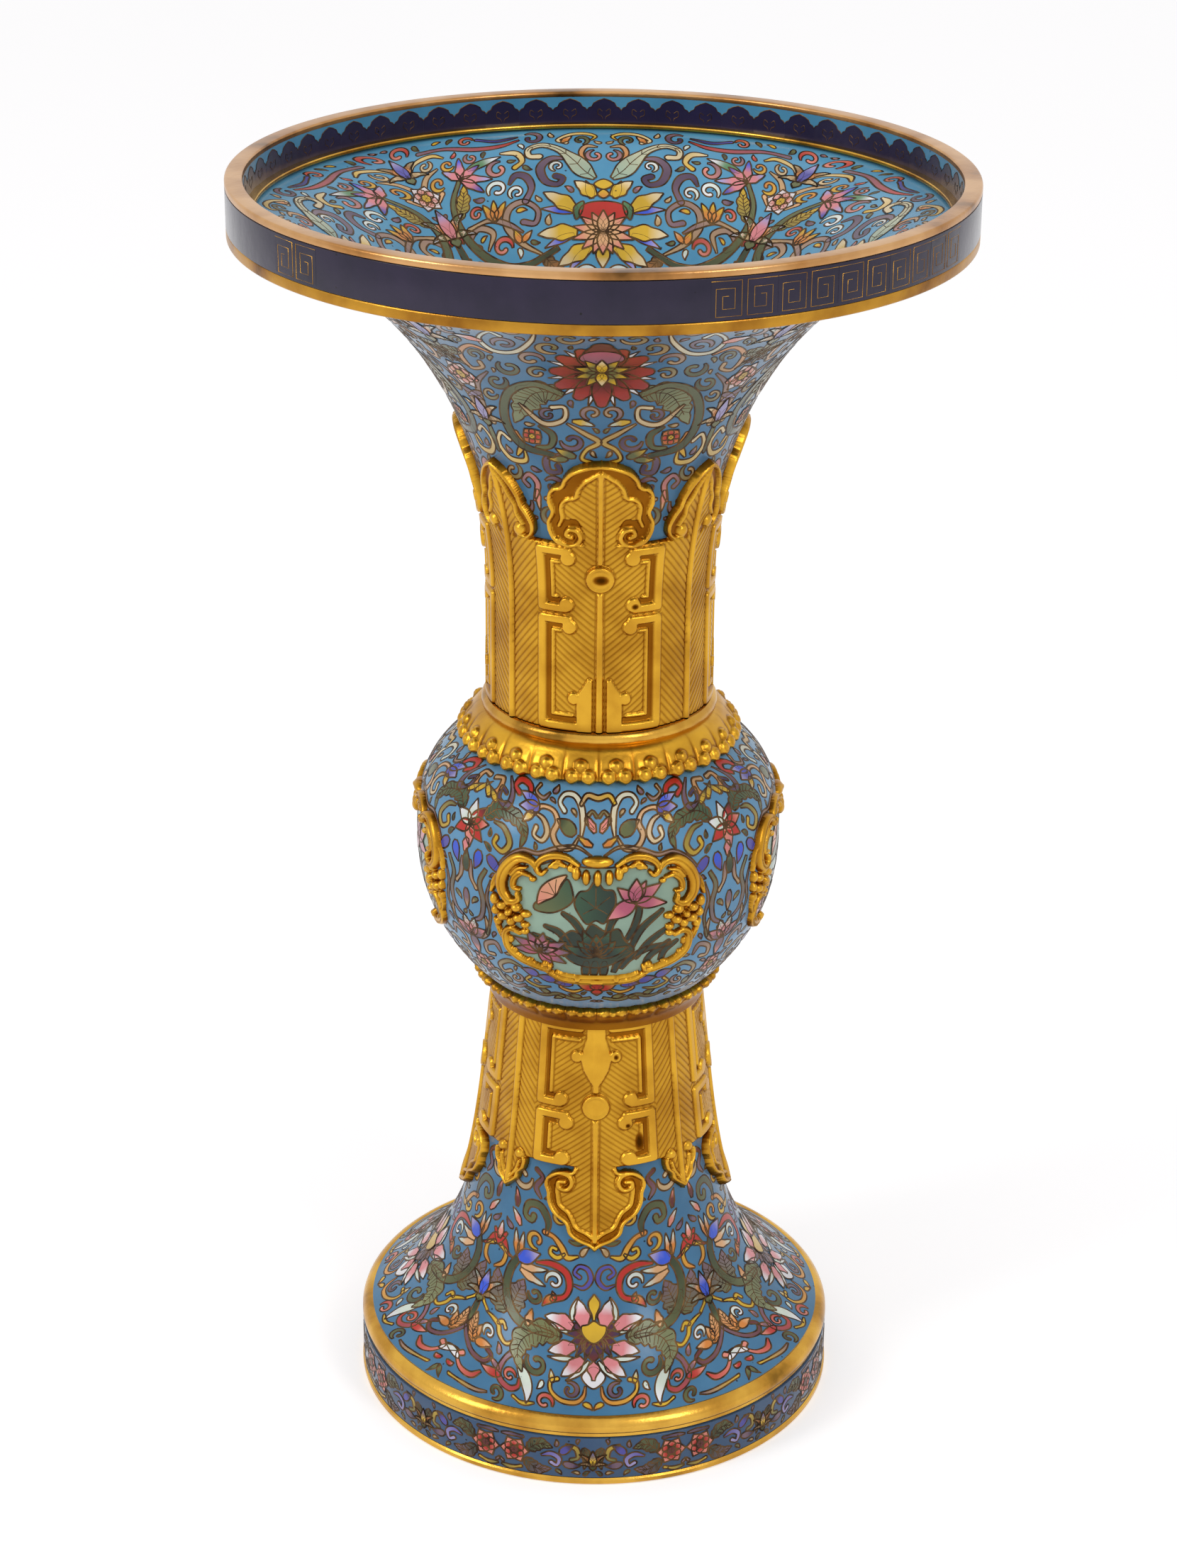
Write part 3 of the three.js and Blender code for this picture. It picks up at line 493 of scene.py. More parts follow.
# How far inside the heads' outlines their channels lie and the side rib shows
HEAD_CHANNEL, SIDE_CHANNEL, SIDE_RIB_INSIDE = 0.9, 0.8, 1
# How far the middle rib and the head's field stop short of the tip, and the grid runs past it
RIB_SHORT, FIELD_SHORT, PAST_TIP = 2.5, 2, 2
# How far behind the rib and under the panel's edge the outlines of the heads are closed
BEHIND_RIB, UNDER_EDGE = 3, 6
# The trench between a fret bar and its line, by how near to each it lies
TRENCH_BAR, TRENCH_LINE = 2.6, 2.2
# Hatching, as parts across and along, its spacing on the flanks and where these start
LEAF_SLOPE, FLANK_SLOPE = (-0.62, 0.78), (-0.75, 0.66)
FLANK_HATCH, FLANK_START = 1.5, 17.4
# Depths of channels, hatching and the dark line at the foot of raised work, a shallow groove darkened with
# painted shade, and that line's place and width
CHANNEL_DEPTH, HATCH_DEPTH, FOOT_DEPTH = 0.35, 0.2, 0.1
FOOT_GAP, FOOT_WIDTH = 0.3, 0.4
# Shares of brown on the plain ground, in the hatching and in channels, and of painted shade by the seat
GROUND_BROWN, HATCH_BROWN, CHANNEL_BROWN, SEAT_BROWN = 0.22, 0.6, 0.95, 0.5
SEAT_REACH = 2.5
RAISED_LEAST = 0.12
# How far and how wide the plate's edge drops, and where its walls are cut off, with the painted shade that
# darkens them
EDGE_DROP, EDGE_WIDTH = 0.25, 0.35
OUTSIDE, SUNK, WALL_SHADE = -0.04, -0.6, 1.4
# Stain in the middle of a worn spot, and how much of it is lost by the spot's edge
WORN_STAIN, WORN_LOSS = 2.2, 1.8


def to_rib(leaf, line, top):
    """A line of one side of a leaf, closed behind the rib."""
    return np.vstack([[(-BEHIND_RIB, leaf["panel"] - UNDER_EDGE)], line, [(-BEHIND_RIB, top)]])


def leaf_heads(x, y, leaf):
    """Distances inside the large head, the small head and the whole outline of a sleeve's quarter."""
    across = np.abs(x)
    head = depth_in(across, y, to_rib(leaf, smooth(leaf["head"]), leaf["tip"]))
    side = depth_in(leaf["half"] - across, y, to_rib(leaf, smooth(leaf["side"]), leaf["tip"]))
    return head, side, np.maximum(np.maximum(leaf["panel"] - y, head), side)


def snap(x, y, leaf):
    """Places of a grid, with those next to the outline moved on to it."""
    gap = leaf_heads(x, y, leaf)[2]
    up, right = np.gradient(gap, y[:, 0], x[0])
    step = np.where(np.abs(gap) < 0.5 * SLEEVE_GRID, gap / (up**2 + right**2 + 1e-6), 0)
    step = np.clip(step, -SLEEVE_GRID, SLEEVE_GRID)
    return x - step * right, y - step * up


def leaf_relief(x, y, leaf):
    """Lift above the enamel and depth of recess over a quarter of a sleeve, about one large leaf; the
    recess holds painted shade at the foot of raised work and on the plate's walls.
    """
    across = np.abs(x)
    beside = leaf["half"] - across
    panel, tip = leaf["panel"], leaf["tip"]
    head, side, cover = leaf_heads(x, y, leaf)
    ridge, side_ridge = smooth(leaf["ridge"]), smooth(leaf["side_ridge"])
    field = depth_in(across, y, to_rib(leaf, np.vstack([smooth(leaf["field"]), ridge]), tip - FIELD_SHORT))
    side_line = np.vstack([[(2.2, panel - 2), (2.6, panel + 2)], side_ridge])
    side_field = depth_in(beside, y, to_rib(leaf, side_line, tip))
    in_head = (head > -HEAD_SLACK) & (y > panel + HEAD_FROM) & (across < FLANK_START)
    in_side = (side > -HEAD_SLACK) & (y > panel + SIDE_FROM) & ~in_head
    body = ~in_head & ~in_side

    raised, foot = np.zeros(x.shape), np.zeros(x.shape)

    def put(gap, half, height, bar, within=True):
        """A bar, with a dark line of painted shade at the foot of its edge."""
        nonlocal raised, foot
        raised = np.where(within, np.maximum(raised, bar(gap, half, height)), raised)
        edge = np.clip(1 - np.abs(gap - half - FOOT_GAP) / FOOT_WIDTH, 0, 1)
        foot = np.where(within, np.maximum(foot, edge), foot)

    trench = np.zeros(x.shape, bool)
    for bar, line in zip(leaf["bars"], leaf["lines"]):
        bar_gap, line_gap = distance(across, y, bar)[0], distance(across, y, line)[0]
        put(bar_gap, *FRET_BAR, flat_bar, body)
        put(line_gap, *FRET_LINE, round_bar, body)
        trench |= body & (bar_gap < TRENCH_BAR) & (line_gap < TRENCH_LINE)
    for kx, ky, radius in leaf["knobs"]:
        put(np.hypot(across - kx, y - ky), radius, KNOB_RISE, flat_bar, body)
    put(-depth_in(across, y, np.array(leaf["stem"])), 0, STEM_RISE, flat_bar, body)
    put(np.abs(head - HEAD_RIM[0]), *HEAD_RIM, flat_bar, in_head & (y > panel + HEAD_RIM_FROM))
    put(np.abs(side - SIDE_RIM[0]), *SIDE_RIM, flat_bar, in_side & (y > panel + SIDE_RIM_FROM))
    put(distance(across, y, ridge)[0], *HEAD_RIDGE, round_bar, in_head)
    put(distance(beside, y, side_ridge)[0], *SIDE_RIDGE, round_bar, in_side)
    put(distance(across, y, smooth(leaf["volute"]))[0], *VOLUTE, round_bar, in_head)
    cx, cy, radius = leaf["side_curl"]
    put(np.hypot(beside - cx, y - cy), radius, CURL_RISE, round_bar)
    taper = RIB_SEAT - RIB_LOSS * y / tip
    put(across, taper, RIB_RISE, round_bar, y < tip - RIB_SHORT)
    side_rib = (y < panel) | (side > SIDE_RIB_INSIDE)
    put(beside, SIDE_RIB_SHARE * taper, SIDE_RIB_RISE, round_bar, side_rib)
    boss = np.hypot(x, y - leaf["boss"])
    raised = np.where(boss < BOSS_CLEAR, 0, raised)
    put(boss, *BOSS, flat_bar)
    raised = raised + round_bar(boss - BOSS_RING_R, *BOSS_RING)

    channel = trench | in_head & (field < 0) & (head > HEAD_CHANNEL)
    channel |= in_side & (side_field < 0) & (side > SIDE_CHANNEL)
    flank = (across > FLANK_START) & ~in_head
    flank_rows = (FLANK_SLOPE[0] * beside + FLANK_SLOPE[1] * y) / FLANK_HATCH
    leaf_rows = (LEAF_SLOPE[0] * across + LEAF_SLOPE[1] * y) / leaf["hatch"]
    groove = np.clip(np.cos(2 * math.pi * np.where(flank, flank_rows, leaf_rows)), 0, 1) ** 2
    low = raised < RAISED_LEAST
    # The foot of raised work is darkened as painted shade, over the brown of the ground and hatching
    recess = np.where(low, np.maximum(GROUND_BROWN + HATCH_BROWN * groove, foot), 0.0)
    recess = np.where(low & channel, CHANNEL_BROWN, recess)
    # Painted shade by the seat, where the sleeve meets the next part
    recess = np.maximum(recess, SEAT_BROWN * np.clip(1 - y / SEAT_REACH, 0, 1))
    cut = np.where(channel, CHANNEL_DEPTH, HATCH_DEPTH * groove + FOOT_DEPTH * foot)
    raised = raised - np.where(low, cut, 0)
    lift = PLATE + raised - EDGE_DROP * np.clip(1 - cover / EDGE_WIDTH, 0, 1)
    # Walls under the plate's edge sink into the enamel and are darkened as painted shade
    outside = cover < OUTSIDE
    return np.where(outside, SUNK, lift), np.where(outside, WALL_SHADE, recess)


def sleeve(name, node, leaf, line, seat, way, drift):
    """Four quarters of a sleeve; drift is how far the leaves spread from the front, in radians."""
    surface = Surface(line)
    half, top = leaf["half"], leaf["tip"] + PAST_TIP
    columns, rows = int(2 * half / SLEEVE_GRID) + 1, int(top / SLEEVE_GRID)
    x, y = np.meshgrid(np.linspace(-half, half, columns), np.linspace(0, top, rows))
    x, y = snap(x, y, leaf)
    turn = x / half * math.pi / 4
    lift, recess = leaf_relief(x, y, leaf)
    height = seat + way * y
    s = np.interp(height, line[:, 1], surface.length)
    rows_up = slice(None, None, way)
    for quarter in range(4):
        angle = turn + quarter * math.pi / 2
        angle = angle + drift * np.sin(angle)
        # Real worn stains are added to a brown share that also holds painted shade
        stain_and_shade = recess
        if quarter == 0:
            for wx, wy, wide, tall in leaf["worn"]:
                gap = np.hypot((x - wx) / wide, (y - wy) / tall)
                stain_and_shade = np.maximum(stain_and_shade, WORN_STAIN - WORN_LOSS * gap**2)
        relief(f"{name}_{quarter}", surface, angle[rows_up], s[rows_up], lift[rows_up], stain_and_shade[rows_up],
               [node] if quarter == 0 else [])


sleeve("upper_sleeve", "upper_leaf_sleeve", UPPER, neck_line, Z_NECK, 1, 0.122)
sleeve("lower_sleeve", "lower_leaf_sleeve", LOWER, foot_line, Z_WAIST, -1, 0.0)

LAPPETS = 24
LAPPET_COLUMNS, LAPPET_ROWS = 26, 44
# Shares of a lappet's width from its middle that are flat and folded, its puff and its least lift
LAPPET_FLAT, LAPPET_FOLD, LAPPET_PUFF, LAPPET_BASE = 0.38, 0.12, 0.7, 0.1
# Seat of the bosses, and the ring cut into each, as a share of its radius, a half width and a depth
BOSS_SEAT, RING_SHARE, RING_WIDTH, RING_DEPTH = 0.5, 0.56, 0.28, 0.22
# Painted shade in that ring and round the foot of the boss: its share, its place and width, and the lift
# under which it lies
RING_BROWN, ROUND_SHARE, ROUND_WIDTH, ROUND_UNDER, BOSS_BROWN = 0.6, 1.1, 0.5, 1.1, 0.8
# Painted shade of the cove at the line's near end, and how fast it fades along the line
COVE_SHADE_START, COVE_SHADE_FADE = 1.9, 2.4
# The hem: its plain edge, the depth of its scallops and how steeply it falls
HEM_EDGE, HEM_SCALLOP, HEM_FALL = 0.3, 1.0, 3.0
LAPPET_HIDDEN = -2.5


def lappets(name, node, line, bosses, cove_shade):
    """A collar of folded lappets, each with bosses over a scalloped hem at the line's far end, with painted
    shade in its folds, round its bosses and, where given, at its near end.
    """
    surface = Surface(smooth(line, 0.4), line[0][1] > line[-1][1])
    reach = surface.length[-1]
    turn = np.linspace(0, 2 * math.pi, LAPPETS * LAPPET_COLUMNS + 1)
    s, angle = np.meshgrid(np.linspace(0, reach, LAPPET_ROWS), turn, indexing="ij")
    width = 2 * math.pi * surface.radius(s) / LAPPETS
    u = ((angle * LAPPETS / (2 * math.pi)) % 1 - 0.5) * width
    fold = 1 - np.clip((np.abs(u) - LAPPET_FLAT * width) / (LAPPET_FOLD * width), 0, 1) ** 2
    rise = np.clip(s / (0.5 * reach), 0, 1)
    lift = LAPPET_PUFF * rise * fold + LAPPET_BASE
    ring = np.zeros(u.shape)
    for bx, gap, radius, height in bosses:
        ball = np.hypot(np.abs(u) - bx, s - (reach - gap))
        lift = np.maximum(lift, BOSS_SEAT + round_bar(ball, radius, height))
        cut = np.clip(1 - np.abs(ball - RING_SHARE * radius) / RING_WIDTH, 0, 1)
        lift = lift - RING_DEPTH * cut
        ring = np.maximum(ring, RING_BROWN * cut)
        around = np.clip(1 - np.abs(ball - ROUND_SHARE * radius) / ROUND_WIDTH, 0, 1)
        ring = np.maximum(ring, around * (lift < ROUND_UNDER))
    hem = reach - HEM_EDGE - HEM_SCALLOP * np.abs(np.cos(math.pi * u / (0.5 * width)))
    lift = np.where(s > hem, lift - HEM_FALL * (s - hem), lift)
    # Painted shade in the folds between lappets, in the bosses' rings and round their feet
    recess = np.maximum((1 - fold) * rise, BOSS_BROWN * ring)
    # Painted shade of the cove at the line's near end
    recess = np.maximum(recess, cove_shade * np.clip(COVE_SHADE_START - COVE_SHADE_FADE * s / reach, 0, 1))
    relief(name, surface, angle, s, lift, recess, [node], LAPPET_HIDDEN)


# Lines of the collars, and bosses as (x to both sides, distance from the hem, radius, height)
UPPER_COLLAR = [(30.8, 205.8), (32.6, 205.0), (34.2, 203.0), (35.5, 200.8), (36.4, 198.6), (36.8, 197.0)]
LOWER_COLLAR = [(29.6, 121.8), (30.0, 123.8), (30.9, 125.8), (32.2, 127.4), (33.2, 128.6), (33.5, 129.9)]
UPPER_BOSSES = [(2.1, 2.3, 2.0, 1.7), (0.0, 5.0, 1.8, 1.5)]
LOWER_BOSSES = [(2.3, 1.5, 1.3, 0.8), (0.0, 1.6, 1.1, 0.7)]
lappets("upper_lappets", "upper_lappet_collar", UPPER_COLLAR, UPPER_BOSSES, 0.0)
# The lower collar's cove under its bosses gets painted shade
lappets("lower_lappets", "lower_lappet_collar", LOWER_COLLAR, LOWER_BOSSES, 0.9)

# Scroll frames: bars as (points of the right half, half width at the ends and middle, height)
FRAME_BARS = [
    ([(4.8, 14.8), (8.3, 16.5), (12.0, 16.4), (14.8, 15.0), (15.6, 13.0), (14.2, 12.0), (13.2, 12.9)], 0.55,
     1.0, 1.6),
    ([(15.0, 12.8), (17.4, 14.8), (20.8, 14.7), (23.8, 12.2), (25.2, 9.0), (24.8, 6.0), (22.6, 4.1),
      (20.4, 4.8), (20.6, 6.4)], 0.6, 1.7, 1.9),
    ([(17.4, 11.2), (19.6, 11.4), (21.6, 9.8), (21.8, 7.6), (20.0, 7.4)], 0.5, 0.9, 1.4),
    ([(25.4, 11.4), (27.2, 8.2), (28.2, 5.4)], 0.5, 0.9, 1.2),
    ([(27.4, -1.6), (26.0, -5.4), (24.0, -8.4)], 0.5, 0.8, 1.2),
    ([(20.2, -3.8), (22.8, -3.2), (24.6, -4.8), (24.6, -8.6), (21.8, -11.4), (17.0, -13.2), (13.6, -13.8),
      (12.8, -12.6)], 0.7, 1.05, 1.6),
    ([(14.4, -13.8), (12.6, -15.4), (9.8, -16.8), (5.3, -17.3), (0.0, -17.2)], 0.7, 0.9, 1.5),
    ([(11.4, -14.6), (9.6, -15.4), (5.6, -15.9), (0.0, -15.9)], 0.45, 0.5, 1.0),
    ([(8.4, 14.4), (10.4, 14.9), (12.2, 13.9)], 0.6, 0.8, 1.1),
    ([(18.2, 13.0), (20.6, 12.4), (22.4, 10.6)], 0.4, 0.6, 1.5),
]
# Leafy and flower lumps as (x, y, radius across, radius up, height)
FRAME_LUMPS = [(0, 15.6, 3.9, 1.5, 1.9), (0, 15.7, 2.4, 0.7, 2.2), (0, 11.7, 1.05, 2.1, 1.7),
               (2.9, 11.9, 1.05, 2.0, 1.7), (5.4, 12.8, 1.15, 1.8, 1.6), (6.9, 14.0, 0.9, 1.1, 1.4),
               (10.9, 14.2, 1.2, 0.9, 1.2), (22.9, 1.3, 1.1, 1.1, 2.5), (25.0, 2.4, 1.5, 1.2, 2.0),
               (21.0, 2.6, 1.5, 1.2, 1.9), (20.6, 0.0, 1.5, 1.2, 1.9), (22.6, -1.2, 1.3, 1.3, 1.9),
               (25.0, -0.3, 1.5, 1.3, 2.0), (23.2, 3.8, 1.2, 1.3, 1.8), (18.5, 1.3, 1.5, 1.0, 1.4),
               (18.8, -1.6, 1.3, 0.9, 1.3), (27.4, 3.4, 1.2, 1.6, 1.6), (27.2, 0.6, 1.1, 1.3, 1.5),
               (26.6, -2.2, 1.2, 1.2, 1.5), (19.0, -3.4, 1.2, 0.9, 1.3), (16.6, 10.4, 1.0, 0.8, 1.2),
               (22.8, -9.6, 1.0, 0.8, 1.0), (14.2, -12.2, 1.0, 0.9, 1.4), (5.5, -16.4, 1.0, 0.8, 1.6),
               (18.6, -11.8, 1.2, 0.6, 1.0), (23.4, -6.6, 0.8, 1.2, 1.0)]
# The frame's and the plaque's drawings are stretched across and upwards to the size of the cartouche
STRETCH = np.array([1.035, 1.15])
FRAME_SWELL = 1.12
FRAME_GRID, FRAME_HALF, FRAME_TALL = 0.28, 31.0, 21.6
FRAME_SUNK, FRAME_HIDDEN, FRAME_BASE = -0.7, -0.65, 0.05
# Bars above a least half width have a line cut along them
INCISED_LEAST, INCISED_HALF, INCISED_DEPTH = 0.85, 0.3, 0.4
CREST_REACH = 3
# Brown of the frames, painted shade: in low places, beside higher ones, in the cut lines, and the most of
# it
LOW_BROWN, BESIDE_BROWN, CUT_BROWN, MOST_BROWN = 0.75, 0.7, 0.8, 0.9
CARTOUCHE_Z = Z_KNOP_MIDDLE - 4.9
knop = Surface(knop_line)
knop_middle = knop.reach(CARTOUCHE_Z)


def frame_relief():
    """Places of a frame's grid, their lift and how brown they are with painted shade."""
    x, y = np.meshgrid(np.arange(-FRAME_HALF, FRAME_HALF + 0.01, FRAME_GRID),
                       np.arange(-FRAME_TALL, FRAME_TALL + 0.01, FRAME_GRID))
    across = np.abs(x)
    lift, cut = np.full(x.shape, FRAME_SUNK), np.zeros(x.shape)
    for points, ends, middle, height in FRAME_BARS:
        gap, share = distance(across, y, smooth(points * STRETCH))
        half = FRAME_SWELL * (ends + (middle - ends) * np.sin(math.pi * share))
        incised = np.where(half > INCISED_LEAST, np.clip(1 - gap / INCISED_HALF, 0, 1), 0)
        cut = np.maximum(cut, incised)
        bar = round_bar(gap, half, height) + FRAME_BASE - INCISED_DEPTH * incised
        lift = np.maximum(lift, np.where(gap < half, bar, FRAME_SUNK))
    for cx, cy, wide, tall, height in FRAME_LUMPS:
        gap = np.hypot((across - cx * STRETCH[0]) / wide, (y - cy * STRETCH[1]) / tall) / FRAME_SWELL
        lift = np.maximum(lift, np.where(gap < 1, round_bar(gap, 1, height) + FRAME_BASE, FRAME_SUNK))
    # Painted shade in low places and beside higher work
    crest = lift
    for shift in (-CREST_REACH, CREST_REACH):
        crest = np.maximum(crest, np.maximum(np.roll(lift, shift, 0), np.roll(lift, shift, 1)))
    recess = np.maximum(LOW_BROWN - LOW_BROWN * lift, BESIDE_BROWN * (crest - lift))
    return x, y, lift, np.clip(np.maximum(recess, CUT_BROWN * cut), 0, MOST_BROWN)


def draw_frames():
    x, y, lift, recess = frame_relief()
    for turn, side in enumerate(SIDES):
        relief(f"frame_{side}", knop, x / KNOP_R + turn * math.pi / 2, knop_middle + y, lift, recess,
               [f"cartouche_frame_{side}"], FRAME_HIDDEN)


draw_frames()

# Wired enamel: cells of colour edged with wire, drawn flat in millimetres and laid on a turned surface

INKS = {
    "pink": (218, 132, 136), "salmon": (226, 140, 122), "white": (228, 226, 228), "pale": (206, 216, 202),
    "yellow": (214, 172, 44), "plum": (62, 46, 80), "red": (188, 48, 38), "violet": (86, 82, 166),
    "blue": (60, 92, 214), "cream": (224, 202, 158), "peach": (224, 172, 122), "olive": (104, 108, 66),
    "moss": (56, 66, 44), "mauve": (122, 96, 110), "orange": (210, 130, 58), "navy": (38, 34, 66),
    "tan": (188, 154, 108), "lilac": (166, 156, 200), "green": (92, 136, 92), "maroon": (102, 42, 40),
    "jade": (148, 174, 154), "leaf": (58, 88, 64), "pond": (36, 50, 42), "rose": (186, 92, 116),
    "sage": (136, 142, 102), "brick": (160, 54, 46), "night": (38, 32, 54),
}
INK = {name: linear(rgb) for name, rgb in INKS.items()}
# Half widths of wires: cells, veins, ribs, thin lines, and the curls and fret of the mouth
WIRE_HALF, VEIN_HALF, RIB_HALF, LINE_HALF, CURL_HALF, FRET_HALF = 0.26, 0.13, 0.16, 0.14, 0.12, 0.07
WIRE_RISE = 0.09
CELL_LIFT, WIRE_LIFT, LAYER = 0.03, 0.02, 0.06
CELL_GRID, CELL_CLEAR = 1.7, 0.4
SWELL = 1.2
# Where a petal turns to its tip's colour, and how softly
PETAL_TURN, PETAL_SOFT = 0.64, 0.16
BLADE_LEAST, LOBE_LEAST, LOBE_DEPTH = 0.03, 0.72, 0.28
VEINED, VEIN_REACH, RIB_REACH = 0.8, 0.8, 0.85
# Filling of the ground: spacing of the places tried, slack at the sides and ends, room kept round a fill
# and between fills; the largest fill, the least curl, the most fills, the turn from one to the next, and
# how far a curl winds and closes
FILL_GRID, SIDE_SLACK, END_SLACK, FILL_CLEAR, FILL_APART = 0.8, 0.6, 0.8, 0.4, 0.2
FILL_MOST, CURL_LEAST, FILL_COUNT, FILL_TURN, CURL_WIND, CURL_CLOSE = 3.4, 1.9, 400, 2.4, 5.6, 0.62
# Half a leaflet's length, its width and a curl's width, as shares of the fill; a leaflet's bend, and what
# is added to a curl's width
LEAFLET_REACH, LEAFLET_WIDTH, CURL_SHARE, LEAFLET_BEND, CURL_EXTRA = 0.9, 0.9, 0.4, 60, 0.4
# Width of a rosette's petals as a share of an even division, and its heart as a share of its size
ROSETTE_SPREAD, ROSETTE_HEART = 2.0, 0.32
BRIGHT_TENDRILS = (("mauve", "plum"), ("olive", "moss"), ("tan", "cream"), ("moss", "olive"),
                   ("yellow", "orange"), ("mauve", "salmon"), ("pale", "white"), ("red", "salmon"))
MUTED_TENDRILS = (("mauve", "tan"), ("olive", "tan"), ("tan", "olive"), ("moss", "olive"),
                  ("mauve", "plum"))

# Half widths along a blade, as shares of its width, from its root to its tip
SCROLL = (0.16, 0.42, 0.5, 0.46, 0.36, 0.42)
STEM = (0.35, 0.45, 0.5, 0.45, 0.3)
PETAL = (0.22, 0.48, 0.5, 0.3, 0.04)
FLARED = (0.2, 0.36, 0.5, 0.34, 0.26, 0.04)
ROUND = (0.22, 0.38, 0.5, 0.48, 0.3)
DROP = (0.12, 0.2, 0.46, 0.5, 0.1)
LEAF = (0.2, 0.46, 0.5, 0.44, 0.26, 0.05)


def arc(x, y, heading, length, bend):
    """A bent line from a place; heading 0 is up and 90 to the right, bend turns it over its length."""
    t = np.linspace(0, 1, max(6, int(length / 0.7)))
    way = np.radians(heading + bend * t)
    step = length / (len(t) - 1)
    walk = np.stack([np.sin(way), np.cos(way)], 1)[:-1] * step
    return np.vstack([[(x, y)], (x, y) + np.cumsum(walk, axis=0)])


def along(line):
    """Share of a line's length up to each of its points."""
    steps = np.concatenate([[0], np.cumsum(np.linalg.norm(np.diff(line, axis=0), axis=1))])
    return steps / steps[-1]


def ways(line):
    """Directions along a line and to its right."""
    way = np.gradient(line, axis=0)
    way /= np.linalg.norm(way, axis=1)[:, None] + 1e-9
    return way, np.stack([way[:, 1], -way[:, 0]], 1)


def blend(root, tip, share):
    """Colours from one ink to another, or of the first alone."""
    return INK[root] + (INK[tip or root] - INK[root]) * share


def plain(ink):
    return lambda places: np.tile(INK[ink], (len(places), 1))


def mirrored(half):
    """An outline from its right half, which starts and ends on the middle line."""
    return [*half, *[(-x, y) for x, y in half[-2:0:-1]]]


def upright(radius, low, high, inward=False):
    return Heights(np.array([(radius, low), (radius, high)]), inward)


class Drawing:
    """Cells and wires of one zone: x across from the middle of a repeat, y along the surface."""

    def __init__(self, name, surface, turns, first=0.0, slot="turquoise_enamel", nodes=(), shown=None,
                 metal=WIRE):
        self.name, self.surface, self.turns, self.first = name, surface, turns, first
        self.slot, self.nodes, self.shown, self.metal = slot, nodes, shown or range(turns), metal
        self.cells, self.wires = [], []

    def wire(self, line, layer, mirror, half=WIRE_HALF):
        self.wires.append((np.asarray(line, float), layer, mirror, half))

    def cell(self, outline, shade, layer, mirror, edged=True):
        """A closed cell; shade gives the colours at places."""
        self.cells.append((outline, shade, layer, mirror))
        if edged:
            self.wire(np.vstack([outline, outline[:2]]), layer, mirror)

    def patch(self, points, root, tip, layer, mirror=True):
        """A smooth closed cell through a few points, shaded from its first point across."""
        start, far = np.asarray(points[0], float), np.asarray(points[len(points) // 2], float)
        way = (far - start) / np.dot(far - start, far - start)

        def shade(places):
            return blend(root, tip, np.clip((places - start) @ way, 0, 1)[:, None])

        self.cell(smooth(points, 0.7, True), shade, layer, mirror)

    def disc(self, x, y, radius, colour, layer, mirror):
        turn = np.linspace(0, 2 * math.pi, 14, endpoint=False)
        points = [(x + radius * math.sin(a), y + radius * math.cos(a)) for a in turn]
        self.patch(points, colour, None, layer, mirror)

    def blade(self, axis, width, root, tip=None, profile=SCROLL, layer=0, mirror=True, lobes=0, veins=0,
              turn=0.5, soft=0.5):
        """A cell along an axis with a width that varies, shaded from root to tip."""
        axis = np.asarray(axis, float)
        share = along(axis)
        knots = smooth(list(zip(np.linspace(0, 1, len(profile)), profile)), 0.02)
        half = np.clip(np.interp(share, knots[:, 0], knots[:, 1]), BLADE_LEAST, 1) * width
        if lobes:
            half = half * (LOBE_LEAST + LOBE_DEPTH * np.abs(np.sin(lobes * math.pi * share)))
        way, right = ways(axis)
        side = right * half[:, None]
        bow = np.radians(np.linspace(-70, 70, 5))[:, None]
        cap = axis[-1] + np.cos(bow) * half[-1] * way[-1] + np.sin(bow) * side[-1]
        outline = np.vstack([axis - side, cap, (axis + side)[::-1]])

        def shade(places):
            t = distance(places[:, 0], places[:, 1], axis)[1][:, None]
            return blend(root, tip, np.clip((t - turn) / (2 * soft) + 0.5, 0, 1))

        self.cell(outline, shade, layer, mirror)
        for k in range(veins):
            at = int((k + 0.6) / veins * VEINED * len(axis))
            out = min(at + 2, len(axis) - 1)
            for hand in (-1, 1):
                end = axis[out] + hand * side[out] * VEIN_REACH
                self.wire(np.linspace(axis[at], end, 4), layer, mirror, VEIN_HALF)
        if veins:
            self.wire(axis[: int(RIB_REACH * len(axis))], layer, mirror, RIB_HALF)

    def petal(self, x, y, heading, length, width, root, tip=None, bend=0.0, profile=PETAL, layer=0,
              mirror=True):
        axis = arc(x, y, heading, length, bend)
        self.blade(axis, width, root, tip, profile, layer, mirror, turn=PETAL_TURN, soft=PETAL_SOFT)

    def scroll(self, points, width, root, tip=None, layer=0, mirror=True, profile=SCROLL):
        self.blade(smooth(points, 0.6), SWELL * width, root, tip, profile, layer, mirror)

    def leaf(self, points, width, root, tip, lobes, layer=0):
        self.blade(smooth(points, 0.6), width, root, tip, LEAF, layer, True, lobes, 2 * lobes)

    def spray(self, y, size, heart, outer):
        """A bud on the middle line: a bright petal between curled side petals over a small calyx."""
        side_petals = ((24, 1.15, 0.3, "orange", 50), (62, 0.9, 0.26, "tan", 60))
        for hand in (-1, 1):
            for heading, length, width, root, bend in side_petals:
                self.petal(0, y, hand * heading, length * size, width * size, root, outer, hand * bend,
                           FLARED, 1)
        self.petal(0, y, 0, 1.05 * size, 0.46 * size, heart, "lilac", layer=2)
        self.petal(0, y, 180, 0.3 * size, 0.4 * size, "olive", layer=2)

    def stalk(self, y, length, width, root, tip):
        """A stem that hangs down on the middle line."""
        self.petal(0, y, 180, length, width, root, tip, 0, STEM, 0, False)

